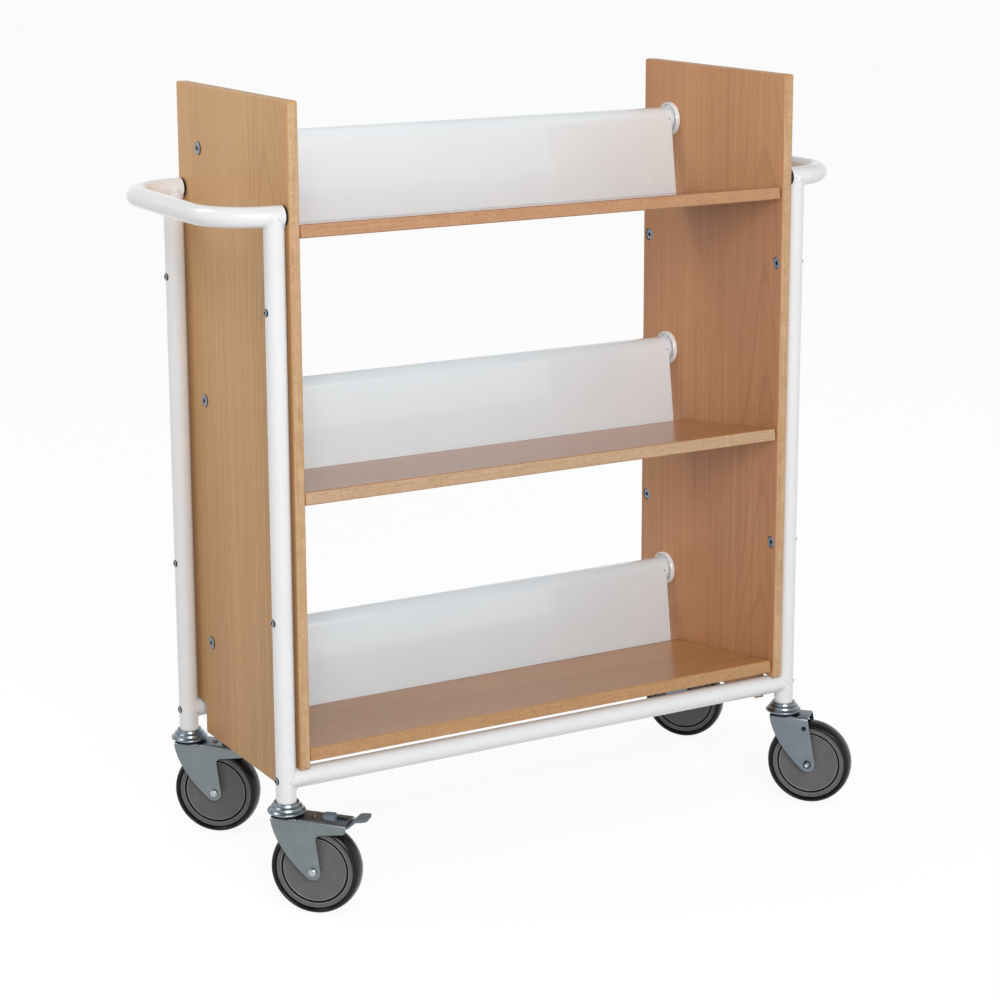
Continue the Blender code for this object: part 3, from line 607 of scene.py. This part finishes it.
# Black painted as shade: in sockets, in a wheel's groove, on a fork's hole walls, round heads and under the darts
PAINTED_SHADE_BLACK = moulded("black painted shade", srgb(14, 14, 15), srgb(22, 22, 24), 0.7, 900.0, 0.1)
# Lighter grey painted on the lips beside a wheel's groove as a highlight
LIP_HIGHLIGHT_PLASTIC = moulded("wheel lip painted highlight", srgb(118, 118, 119), srgb(140, 140, 141), 0.34, 800.0)
RUBBER = tread_rubber("black rubber", srgb(17, 17, 18), srgb(34, 34, 36))
BLACK_PLASTIC = moulded("black plug plastic", srgb(18, 18, 20), srgb(30, 30, 32), 0.40, 900.0, 0.25)


def tier_place(tier):
    """Frame on a roll's axis: Y runs down the shelf to the rear, Z is square to the shelf."""
    axis = middle(f"flange_{tier}_left")
    return Matrix.Translation((0, axis.y, axis.z)) @ Matrix.Rotation(-SHELF_TILT, 4, "X")


def make_panel(end):
    piece = copy_solid(f"end_panel_{end}", f"panel_{end}")
    dress(piece, "frame", PANEL_WOOD[end], "beech", f"end_panel_{end}", angle=20)

    def on_edge(at, way):
        """Whether a face is a straight stretch of the panel's edge."""
        straight = abs(way.y) >= 0.99 or abs(way.z) >= 0.99
        return abs(way.x) < 0.5 and abs(at.x) < PANEL_OUTER_X - FACE_MARGIN and straight

    paint_faces(piece, PANEL_LIPPING, on_edge)


def make_shelf(tier):
    piece = copy_solid(f"shelf_{tier}", f"board_{tier}")
    dress(piece, "frame", SHELF_WOOD[tier], "beech", f"shelf_{tier}", angle=20)
    down_slope = Vector((0, math.cos(SHELF_TILT), -math.sin(SHELF_TILT)))
    paint_faces(piece, SHELF_LIPPING[tier], lambda at, way: abs(way.dot(down_slope)) > 0.9)


def make_book_stop(tier):
    """Flat sheet whose top edge is spun into the roll."""
    middle_r = ROLL_R - STOP_SHEET / 2
    piece = begin(f"stop_sheet_{tier}", "plane", size=1, rotation=(math.pi / 2, 0, 0))
    bpy.ops.transform.resize(value=(2 * STOP_HALF, 1, -STOP_FOOT), center_override=(0, 0, 0))
    bpy.ops.transform.translate(value=(0, -middle_r, STOP_FOOT / 2))
    pick_edges(piece, lambda at, way: abs(at.z) < ON_AXIS)
    bpy.ops.mesh.spin(steps=ROLL_STEPS, angle=ROLL_TURN, center=(0, 0, 0), axis=(1, 0, 0))
    close_up()
    modify(piece, "SOLIDIFY", thickness=STOP_SHEET, offset=0)
    soften(piece, STOP_EDGE, angle=50)
    put(piece, tier_place(tier))
    dress(piece, "frame", STOP_WHITE, "white_paint", f"book_stop_{tier}")
    front = tier_place(tier).to_3x3() @ Vector((0, -1, 0))
    # the front takes its tier's cooler white, painted against the wood's warm bounce light
    paint_faces(piece, STOP_FRONT_PAINTED_COOL[tier], lambda at, way: way.dot(front) > 0.2)


def make_flanges():
    """Dished cup with a rolled lip and a spigot, turned once and set at both ends of each roll."""
    model = turn("cup", [
        (SPIGOT_R, SPIGOT_TIP), (SPIGOT_R, FLANGE_FLOOR + 0.0006), (SPIGOT_R + 0.0006, FLANGE_FLOOR),
        (FLANGE_R - 2.4 * FLANGE_LIP, FLANGE_FLOOR), (FLANGE_R - 1.5 * FLANGE_LIP, FLANGE_FLOOR + 0.0012),
        (FLANGE_R - FLANGE_LIP, FLANGE_DEPTH - 0.0006), (FLANGE_R - 0.75 * FLANGE_LIP, FLANGE_DEPTH),
        (FLANGE_R - 0.3 * FLANGE_LIP, FLANGE_DEPTH - 0.0002), (FLANGE_R, FLANGE_DEPTH - 0.0012),
        (FLANGE_R, 0.0004),
    ], steps=64)
    for tier in TIERS:
        axis = middle(f"flange_{tier}_left")
        for end, side in ENDS.items():
            place = Matrix.Translation((side * PANEL_INNER_X, axis.y, axis.z))
            place = place @ Matrix.Rotation(-side * math.pi / 2, 4, "Y")
            piece = copy_to(model, f"roll_cup_{tier}_{end}", place)
            dress(piece, "frame", WHITE, "white_paint", f"flange_{tier}_{end}")
    bpy.data.objects.remove(model)


def make_handle(end, side):
    """One tube: out from the panel, round two bends and back."""
    piece = begin(f"handle_tube_{end}", "circle", vertices=TUBE_STEPS, radius=TUBE_R,
                  location=(side * HANDLE_START_X, -LEG_Y, HANDLE_Z), rotation=(0, math.pi / 2, 0))
    push(x=side * (BEND_X - HANDLE_START_X))
    for centre_y in (-BEND_Y, BEND_Y):
        bpy.ops.mesh.spin(steps=HANDLE_BEND_STEPS, angle=-side * math.pi / 2,
                          center=(side * BEND_X, centre_y, HANDLE_Z), axis=(0, 0, 1))
        if centre_y < 0:
            push(y=2 * BEND_Y)
    push(x=side * (HANDLE_START_X - BEND_X))
    close_up()
    modify(piece, "SOLIDIFY", thickness=TUBE_WALL, offset=-1)
    dress(piece, "frame", WHITE, "white_paint", f"handle_{end}")


def mitre(place, *ways):
    """Cut a tube's end along the planes where it meets a tube of its own size."""
    for way in ways:
        bpy.ops.mesh.select_all(action="SELECT")
        bpy.ops.mesh.bisect(plane_co=place, plane_no=way, clear_outer=True)


def make_leg(name, side, row):
    x, y = side * LEG_X, row * LEG_Y
    piece = begin(f"leg_tube_{name}", "cylinder", vertices=TUBE_STEPS, radius=TUBE_R,
                  depth=HANDLE_Z - LEG_BOTTOM, end_fill_type="NOTHING",
                  location=(x, y, (HANDLE_Z + LEG_BOTTOM) / 2))
    mitre((x, y, HANDLE_Z), (1, 0, 1), (-1, 0, 1))
    close_up()
    weld = bead(piece, f"handle_weld_{name}",
                lambda at, way: at.z > HANDLE_Z - WELD_REACH and abs(way.z) < 0.02)
    modify(piece, "SOLIDIFY", thickness=TUBE_WALL, offset=-1)
    dress(piece, "frame", WHITE, "white_paint", f"leg_{name}")
    dress(weld, "frame", WHITE, "white_paint")


def make_crossbar(row, y):
    piece = begin(f"cross_tube_{row}", "cylinder", vertices=TUBE_STEPS, radius=TUBE_R, depth=2 * LEG_X,
                  end_fill_type="NOTHING", location=(0, y, CROSSBAR_Z), rotation=(0, math.pi / 2, 0))
    for side in ENDS.values():
        mitre((side * LEG_X, y, CROSSBAR_Z), (side, 0, 1), (side, 0, -1))
    close_up()
    for end, side in ENDS.items():
        weld = bead(piece, f"cross_weld_{row}_{end}",
                    lambda at, way: side * at.x > LEG_X - WELD_REACH and abs(way.x) < 0.02)
        dress(weld, "frame", WHITE, "white_paint")
    modify(piece, "SOLIDIFY", thickness=TUBE_WALL, offset=-1)
    dress(piece, "frame", WHITE, "white_paint", f"crossbar_{row}")


def make_plugs():
    """Black plugs that close the handles' ends against the panels."""
    flange = HANDLE_START_X - PANEL_OUTER_X
    model = turn("plug", [
        (PLUG_R, PLUG_LENGTH), (PLUG_R, 0.0002), (TUBE_R - 0.0002, 0.0), (TUBE_R, -0.0008),
        (TUBE_R - 0.0004, -flange + 0.0012), (TUBE_R - 0.0016, -flange + 0.0004),
    ], steps=TUBE_STEPS)
    for name, (side, row) in CORNERS.items():
        place = Matrix.Translation((side * HANDLE_START_X, row * LEG_Y, HANDLE_Z))
        piece = copy_to(model, f"end_plug_{name}", place @ Matrix.Rotation(side * math.pi / 2, 4, "Y"))
        dress(piece, "frame", BLACK_PLASTIC, "black_plastic", f"plug_{name}")
    bpy.data.objects.remove(model)


def socket_head(name, profile, key_r, depth):
    """Turned bolt head, facing +Z, with a hexagon socket and a dark floor in it."""
    top = profile[-1][1]
    head = turn(name, profile, steps=40)
    tool = begin("hex_key", "cylinder", vertices=6, radius=key_r, depth=2 * depth, location=(0, 0, top))
    alone()
    cut(head, tool)
    soften(head, HEAD_EDGE, angle=40)
    return head


def paint_socket_shade(piece, centre, key_r):
    """Paint black shade on the walls and floor of a socket in a head that faces along X."""
    paint_faces(piece, PAINTED_SHADE_BLACK, lambda at, way: (at - centre).yz.length < SLACK * key_r
                and (abs(way.x) < 0.5 or (at - centre).yz.length < 0.2 * key_r))


def make_panel_bolts():
    """Large flat heads: proud of the panels outside over the rolls, sunk into them inside behind the legs."""

    def model(name, outside, top, depth):
        ring = [(0.0056, top), (0.0050, top - 0.0005), (0.0044, top - 0.0005), (0.0040, top), (0.0036, top)]
        return socket_head(name, outside + ring, PANEL_KEY_R, depth)

    top = PANEL_BOLT_PROUD
    proud = model("connector", [
        (PANEL_BOLT_R, PANEL_BOLT_SEAT), (PANEL_BOLT_R, top - 0.0006), (PANEL_BOLT_R - 0.0005, top - 0.0002),
    ], top, PANEL_KEY_DEPTH)
    top = -SLEEVE_NUT_SINK
    sunk = model("sleeve_nut", [
        (SLEEVE_NUT_RIM_R, PANEL_BOLT_SEAT), (SLEEVE_NUT_RIM_R, top - 0.0004),
        (SLEEVE_NUT_R, top - 0.0004), (SLEEVE_NUT_R - 0.0005, top),
    ], top, SLEEVE_NUT_KEY_DEPTH)
    spots = []
    for end, side in ENDS.items():
        for tier in TIERS:
            axis = middle(f"flange_{tier}_left")
            at = Vector((side * PANEL_OUTER_X, axis.y, axis.z))
            spots.append((f"roll_bolt_{tier}_{end}", proud, side, at))
        for row, way in ROWS.items():
            for level, z in enumerate(LEG_BOLT_HEIGHTS):
                at = Vector((side * PANEL_INNER_X, way * LEG_Y, z))
                spots.append((f"leg_nut_{row}_{end}_{level}", sunk, -side, at))
    for name, head, facing, centre in spots:
        place = Matrix.Translation(centre) @ Matrix.Rotation(facing * math.pi / 2, 4, "Y")
        piece = copy_to(head, name, place)
        # sunk nuts take the steel painted bluer against the wood's reflection
        dress(piece, "frame", NUT_STEEL_PAINTED_BLUE if head is sunk else BOLT_STEEL, "zinc")
        paint_socket_shade(piece, centre, PANEL_KEY_R)
        # painted shade: a proud head's side wall and all of a sunk nut's rim are painted black
        paint_faces(piece, PAINTED_SHADE_BLACK, lambda at, way: (at - centre).yz.length > PANEL_BOLT_SHADE_R
                    and (abs(way.x) < 0.3 or head is sunk))
    for item in (proud, sunk):
        bpy.data.objects.remove(item)


def make_leg_bolts():
    """Small button heads on the outside of each leg: two into the panel, one at the crossbar."""
    model = socket_head("button", [
        (LEG_BOLT_R, -0.0014), (LEG_BOLT_R, 0.0002), (LEG_BOLT_R - 0.0006, 0.0003),
        (LEG_BOLT_R - LEG_BOLT_SHADE_RING, 0.0006), (LEG_BOLT_R - 0.0012, 0.0013),
        (LEG_BOLT_R - 0.0020, 0.0018), (0.0027, 0.0019),
    ], LEG_KEY_R, LEG_KEY_DEPTH)
    for name, (side, row) in CORNERS.items():
        for level, z in enumerate((*LEG_BOLT_HEIGHTS, CROSSBAR_Z)):
            centre = Vector((side * (LEG_X + TUBE_R), row * LEG_Y, z))
            place = Matrix.Translation(centre) @ Matrix.Rotation(side * math.pi / 2, 4, "Y")
            piece = copy_to(model, f"leg_bolt_{name}_{level}", place)
            dress(piece, "frame", BOLT_STEEL, "zinc")
            paint_socket_shade(piece, centre, LEG_KEY_R)
            # the ring round each dome is painted black as shade
            paint_faces(piece, PAINTED_SHADE_BLACK,
                        lambda at, way: (at - centre).yz.length > LEG_BOLT_R - LEG_BOLT_SHADE_RING)
    bpy.data.objects.remove(model)


def make_roll_pins():
    """Grub screw in each end of a roll, on its front."""
    model = turn("pin", [
        (PIN_R, -0.0006), (PIN_R, 0.0001), (0.6 * PIN_R, 0.0002), (0.5 * PIN_R, -0.0004),
    ], steps=16)
    for tier in TIERS:
        for end, side in ENDS.items():
            spot = Matrix.Translation((side * (STOP_HALF - PIN_INSET), 0, 0))
            spot = spot @ Matrix.Rotation(PIN_TURN, 4, "X")
            place = tier_place(tier) @ spot @ Matrix.Translation((0, 0, ROLL_R))
            piece = copy_to(model, f"roll_pin_{tier}_{end}", place)
            dress(piece, "frame", DARK_STEEL, "zinc")
    bpy.data.objects.remove(model)


def caster_place(name):
    """Frame on the floor under a caster's swivel, with X towards its axle."""
    swivel = Vector(JOINTS[f"swivel_{name}"]["pos_m"])
    axle = Vector(JOINTS[f"roll_{name}"]["pos_m"])
    along = Vector((axle.x - swivel.x, axle.y - swivel.y, 0)).normalized()
    turned = Matrix.Rotation(math.atan2(along.y, along.x), 4, "Z")
    return Matrix.Translation((swivel.x, swivel.y, 0)) @ turned


def mirrored(profile):
    """A profile and its mirror image below, as one ring."""
    return profile + [(radius, -height) for radius, height in reversed(profile)]


def make_wheel_models():
    """Wheel centre and tyre of one caster, turned about Z."""
    rim = RIM_R - 0.0001
    wheel = turn("wheel", mirrored([
        (0.0043, HUB_HALF), (0.0082, HUB_HALF), (0.0090, HUB_HALF - 0.0008), (0.0094, FACE_HALF - 0.0006),
        (0.0130, FACE_HALF - 0.0010), (GROOVE_R - 0.0040, FACE_HALF - 0.0007),
        (GROOVE_R - 0.0027, FACE_HALF - 0.0006), (GROOVE_R - 0.0022, FACE_HALF - 0.0002),
        (GROOVE_R - 0.0017, FACE_HALF - 0.0002), (GROOVE_R - GROOVE_HALF, FACE_HALF - 0.0006),
        (GROOVE_R - GROOVE_HALF + 0.0001, FACE_HALF - 0.0026),
        (GROOVE_R + GROOVE_HALF - 0.0001, FACE_HALF - 0.0026),
        (GROOVE_R + GROOVE_HALF, FACE_HALF - 0.0004), (GROOVE_R + 0.0017, FACE_HALF + 0.0002),
        (GROOVE_R + 0.0025, FACE_HALF + 0.0003), (GROOVE_R + 0.0033, FACE_HALF), (rim - 0.0016, FACE_HALF),
        (rim - 0.0008, FACE_HALF + 0.0003), (rim, FACE_HALF - 0.0006),
    ]), steps=96, ring=True)
    tyre = turn("tyre", mirrored([
        (RIM_R, FACE_HALF - 0.0006), (RIM_R + 0.0003, FACE_HALF + 0.0008),
        (RIM_R + 0.0012, FACE_HALF + 0.0022), (RIM_R + 0.0022, TYRE_HALF - 0.0006),
        (RIM_R + 0.0032, TYRE_HALF), (RIM_R + 0.0043, TYRE_HALF - 0.0004),
        (RIM_R + 0.0050, TYRE_HALF - 0.0014), (RIM_R + 0.0054, TYRE_HALF - 0.0016),
        (RIM_R + 0.0066, TYRE_HALF - 0.0040), (WHEEL_R - 0.0008, 0.0080), (WHEEL_R - 0.0002, 0.0048),
        (WHEEL_R, 0.0015),
    ]), steps=96, ring=True)
    return wheel, tyre


def make_axle_models():
    """Axle with a domed head at each end, and the same axle with hexagon sockets."""
    seat = FORK_OUTER + FIT_GAP
    dome = [
        (0.0008, AXLE_HEAD_H), (0.0026, 0.0034), (0.0043, 0.0028),
        (0.0055, 0.0018), (0.0061, 0.0008), (0.0062, 0.0),
    ]
    near = [(radius, -seat - height) for radius, height in dome]
    far = [(radius, seat + height) for radius, height in reversed(dome)]
    domed = turn("domed_axle", near + [(AXLE_R, -seat), (AXLE_R, seat)] + far, steps=40)
    socketed = copy_to(domed, "socketed_axle", Matrix())
    for way in (-1, 1):
        tool = begin("hex_key", "cylinder", vertices=6, radius=SOCKET_R, depth=SOCKET_TOOL,
                     location=(0, 0, way * (seat + AXLE_HEAD_H)))
        alone()
        cut(socketed, tool)
    return domed, socketed


def make_head_model():
    """Stem, collar and stepped cap of a swivel, turned about Z."""
    collar = TUBE_R + FIT_GAP
    return turn("head", [
        (PLUG_R, LEG_BOTTOM + STEM_LENGTH), (PLUG_R, LEG_BOTTOM - 0.0002), (collar, LEG_BOTTOM - 0.0002),
        (collar, COLLAR_TOP - 0.0004), (collar + 0.0004, COLLAR_TOP), (0.0168, COLLAR_TOP),
        (0.0175, COLLAR_TOP - 0.0007), (0.0179, 0.1522), (0.0187, 0.1505), (0.0200, 0.1494), (0.0211, 0.1490),
        (0.0217, 0.1482), (0.0219, 0.1470), (0.0224, 0.1457), (0.0234, 0.1446), (0.0248, 0.1437),
        (0.0259, 0.1430), (0.0264, 0.1421), (0.0264, 0.1411), (0.0260, 0.1403), (0.0252, SKIRT_UNDER),
        (0.0226, SKIRT_UNDER), (RACE_R, SKIRT_UNDER), (RACE_R, FORK_TOP + FIT_GAP),
        (KING_R, FORK_TOP + FIT_GAP), (KING_R, KING_RIVET_TOP), (0.0100, KING_RIVET_TOP),
        (0.0070, 0.1318), (0.0030, 0.1310),
    ], steps=72)


def make_dart_model():
    """Stiffening dart pressed into a fork's fold, lying along X with its back at the origin."""
    dart = begin("dart", "cube", size=1, scale=DART_SIZE)
    alone()
    soften(dart, DART_EDGE, segments=4, angle=30)
    return dart


def make_casters():
    wheel, tyre = make_wheel_models()
    domed, socketed = make_axle_models()
    head = make_head_model()
    dart = make_dart_model()
    for name in CORNERS:
        place = caster_place(name)
        hub = place @ Matrix.Translation((TRAIL, 0, WHEEL_R)) @ Matrix.Rotation(-math.pi / 2, 4, "X")
        centre = hub.translation
        across = (hub.to_3x3() @ Vector((0, 0, 1))).normalized()
        braked = name in BRAKED

        def from_axle(at, axis_point=centre):
            """Distance from a line along the axle's direction, the axle itself if no other is given."""
            return (at - axis_point - across * (at - axis_point).dot(across)).length

        def off_middle(at):
            return abs((at - centre).dot(across))

        piece = copy_to(wheel, f"wheel_centre_{name}", hub)
        dress(piece, f"caster_wheel_{name}", GREY_PLASTIC, "grey_plastic", f"wheel_{name}")
        # the groove's walls are painted black as shade
        paint_faces(piece, PAINTED_SHADE_BLACK, lambda at, way: abs(from_axle(at) - GROOVE_R) < GROOVE_HALF
                    and off_middle(at) < FACE_HALF - FACE_SINK)
        # the lips beside the groove are painted lighter as a highlight
        paint_faces(piece, LIP_HIGHLIGHT_PLASTIC,
                    lambda at, way: GROOVE_HALF < abs(from_axle(at) - GROOVE_R) < LIP_REACH
                    and off_middle(at) > FACE_HALF - FACE_SINK)
        piece = copy_to(tyre, f"tread_{name}", hub)
        dress(piece, f"caster_wheel_{name}", RUBBER, "rubber", f"tyre_{name}", angle=60)
        piece = copy_to(domed if braked else socketed, f"axle_bolt_{name}", hub)
        finish = BRIGHT_STEEL if braked else DULL_STEEL
        dress(piece, f"caster_fork_{name}", finish, "zinc", f"axle_{name}")
        if not braked:
            paint_faces(piece, BRIGHT_STEEL, lambda at, way: from_axle(at) < SLACK * SOCKET_R)
        piece = copy_to(head, f"swivel_cap_{name}", Matrix.Translation(place.translation))
        dress(piece, "frame", ZINC, "zinc", f"swivel_head_{name}", angle=50)
        # the skirt's underside, the race and the king rivet are painted dark steel as shade under the cap
        paint_faces(piece, DARK_STEEL, lambda at, way: at.z < SKIRT_UNDER + 0.0001)
        piece = copy_solid(f"fork_{name}", f"fork_press_{name}")
        soften(piece, FORK_EDGE, segments=3, angle=45)
        if not braked:
            punch = begin("hole_punch", "cylinder", vertices=32, radius=FORK_HOLE_R, depth=3 * FORK_OUTER,
                          rotation=(math.pi / 2, 0, 0))
            alone()
            cut(piece, put(punch, place @ Matrix.Translation(FORK_HOLE)))
        # plain forks take the pressed steel with its bluer tint painted in as a reflection
        finish = BRAKED_STEEL if braked else PLAIN_STEEL_WITH_PAINTED_REFLECTION
        dress(piece, f"caster_fork_{name}", finish, "zinc", f"fork_{name}", angle=38)
        # a fork's bevelled edges are painted brighter as a highlight
        paint_faces(piece, EDGE_HIGHLIGHT_STEEL, lambda at, way: 0.3 < abs(way.dot(across)) < 0.9)
        if not braked:
            # the hole's walls are painted black as shade
            hole = place @ Vector(FORK_HOLE)
            paint_faces(piece, PAINTED_SHADE_BLACK, lambda at, way: abs(way.dot(across)) < 0.1
                        and from_axle(at, hole) < SLACK * FORK_HOLE_R)
        for label, way in ROWS.items():
            fold = Matrix.Translation((DART_X, way * (FORK_OUTER - DART_SINK), FORK_TOP - DART_SINK))
            fold = fold @ Matrix.Rotation(-way * math.pi / 4, 4, "X")
            piece = copy_to(dart, f"fork_dart_{label}_{name}", place @ fold)
            # the dart is bright steel as a painted highlight on the fold, with its underside painted black as
            # shadow
            dress(piece, f"caster_fork_{name}", BRIGHT_STEEL, "zinc")
            paint_faces(piece, PAINTED_SHADE_BLACK, lambda at, way: way.z < -0.2)
    for model in (wheel, tyre, domed, socketed, head, dart):
        bpy.data.objects.remove(model)


def make_brakes():
    """Pedals, and the brass rivet on each braked crown."""
    rivet = turn("rivet", [
        (0.0032, -0.0002), (0.0032, 0.0004), (0.0028, 0.0011), (0.0016, 0.0016), (0.0008, 0.0017),
    ], steps=28)
    for name in BRAKED:
        piece = copy_solid(f"brake_pedal_{name}", f"pedal_{name}")
        soften(piece, PEDAL_EDGE, angle=45)
        dress(piece, f"brake_{name}", SLATE, "slate", f"brake_pedal_{name}", angle=38)
        place = caster_place(name) @ Matrix.Translation((CROWN_RIVET_X, 0, FORK_TOP))
        piece = copy_to(rivet, f"crown_rivet_{name}", place)
        dress(piece, f"caster_fork_{name}", BRASS, "zinc", angle=60)
    bpy.data.objects.remove(rivet)


# Studio: how strongly the floor and the world light the object, and how they show behind it
FLOOR_R = 60
FLOOR_GREY = (0.6, 0.6, 0.6)  # as the object's light meets it
FLOOR_WHITE = (1, 1, 1)  # as it is seen
FLOOR_GLOW = 1.025
FLOOR_GLOW_SHARE = 0.88
HORIZON = 1.0
ZENITH = 0.25
SKY_FADE = (0.2, 0.9)  # heights between which it darkens
AMBIENT = 0.49
SOFTBOXES = {
    "front softbox": {"place": (-1.2, -4.2, 2.6), "aim": (0, 0, 0.6), "size": (3.0, 2.0), "power": 151},
    "side softbox": {"place": (-1.7, 0.9, 2.5), "aim": (-0.4, 0, 0.7), "size": (0.9, 0.9), "power": 14},
}


def make_floor():
    """Pale floor that shows as the white backdrop and takes a faint shadow."""
    piece = begin("studio_floor", "circle", vertices=96, radius=FLOOR_R, fill_type="NGON")
    alone()
    finish = Finish("studio floor", {"Roughness": 0.9})
    rays = finish.backdrop_rays()
    finish.set(base_color=finish.blend(rays, rgba(FLOOR_GREY), rgba(FLOOR_WHITE)))
    glow = finish.node("Emission", None, {"Color": rgba(FLOOR_WHITE), "Strength": FLOOR_GLOW})
    paper = Field(finish, finish.shader.outputs[0])
    surface = finish.node("MixShader", None, {0: rays * FLOOR_GLOW_SHARE, 1: paper, 2: glow})
    finish.tree.links.new(surface.socket, finish.tree.nodes["Material Output"].inputs["Surface"])
    piece.data.materials.append(finish.material)


def light_world():
    """Pale studio: white at the horizon and darker overhead where it is seen, even where it only lights."""
    world = bpy.data.worlds.new("studio")
    bpy.context.scene.world = world
    world.use_nodes = True
    graph = Graph(world.node_tree)
    height = graph.axis(graph.node("TexCoord", output="Generated"), "Z")
    shown = graph.between(height, *SKY_FADE, HORIZON, ZENITH)
    strength = graph.node("Mix", None, {"Factor": graph.backdrop_rays(), "A": AMBIENT, "B": shown})
    background = graph.tree.nodes["Background"]
    background.inputs["Color"].default_value = (1, 1, 1, 1)
    graph.tree.links.new(strength.socket, background.inputs["Strength"])


def add_softbox(name, place, aim, size, power):
    alone()
    bpy.ops.object.light_add(type="AREA", location=place)
    lamp = bpy.context.object
    lamp.name = lamp.data.name = name
    lamp.data.shape = "RECTANGLE"
    lamp.data.size, lamp.data.size_y = size
    lamp.data.energy = power
    lamp.rotation_euler = (Vector(aim) - Vector(place)).to_track_quat("-Z", "Y").to_euler()


# Camera, fitted to the photograph's corners in pixels of its frame
PHOTO_PIXELS = 1000
FOCAL_PIXELS = 2493.2
SENSOR_MM = 36
SHIFT_Y = -0.10
CAMERA_PLACE = (-1.7400, -3.0958, 1.3944)
CAMERA_YAW = math.radians(-29.585)
CAMERA_PITCH = math.radians(12.071)
CAMERA_ROLL = math.radians(0.19)
CLIP_END = 200


def add_camera():
    alone()
    bpy.ops.object.camera_add(location=CAMERA_PLACE)
    camera = bpy.context.object
    camera.data.sensor_width = SENSOR_MM
    camera.data.lens = FOCAL_PIXELS * SENSOR_MM / PHOTO_PIXELS
    camera.data.shift_y = SHIFT_Y
    camera.data.clip_end = CLIP_END
    turned = Matrix.Rotation(CAMERA_YAW, 4, "Z") @ Matrix.Rotation(math.pi / 2 - CAMERA_PITCH, 4, "X")
    camera.rotation_euler = (turned @ Matrix.Rotation(-CAMERA_ROLL, 4, "Z")).to_euler()
    bpy.context.scene.camera = camera


def build():
    for end, side in ENDS.items():
        make_panel(end)
        make_handle(end, side)
    for tier in TIERS:
        make_shelf(tier)
        make_book_stop(tier)
    make_flanges()
    for name, (side, row) in CORNERS.items():
        make_leg(name, side, row)
    for row, way in ROWS.items():
        make_crossbar(row, way * LEG_Y)
    make_plugs()
    make_panel_bolts()
    make_leg_bolts()
    make_roll_pins()
    make_casters()
    make_brakes()
    make_floor()
    light_world()
    for name, settings in SOFTBOXES.items():
        add_softbox(name, **settings)
    add_camera()
    bpy.context.scene.view_settings.view_transform = "Standard"


build()
alone()
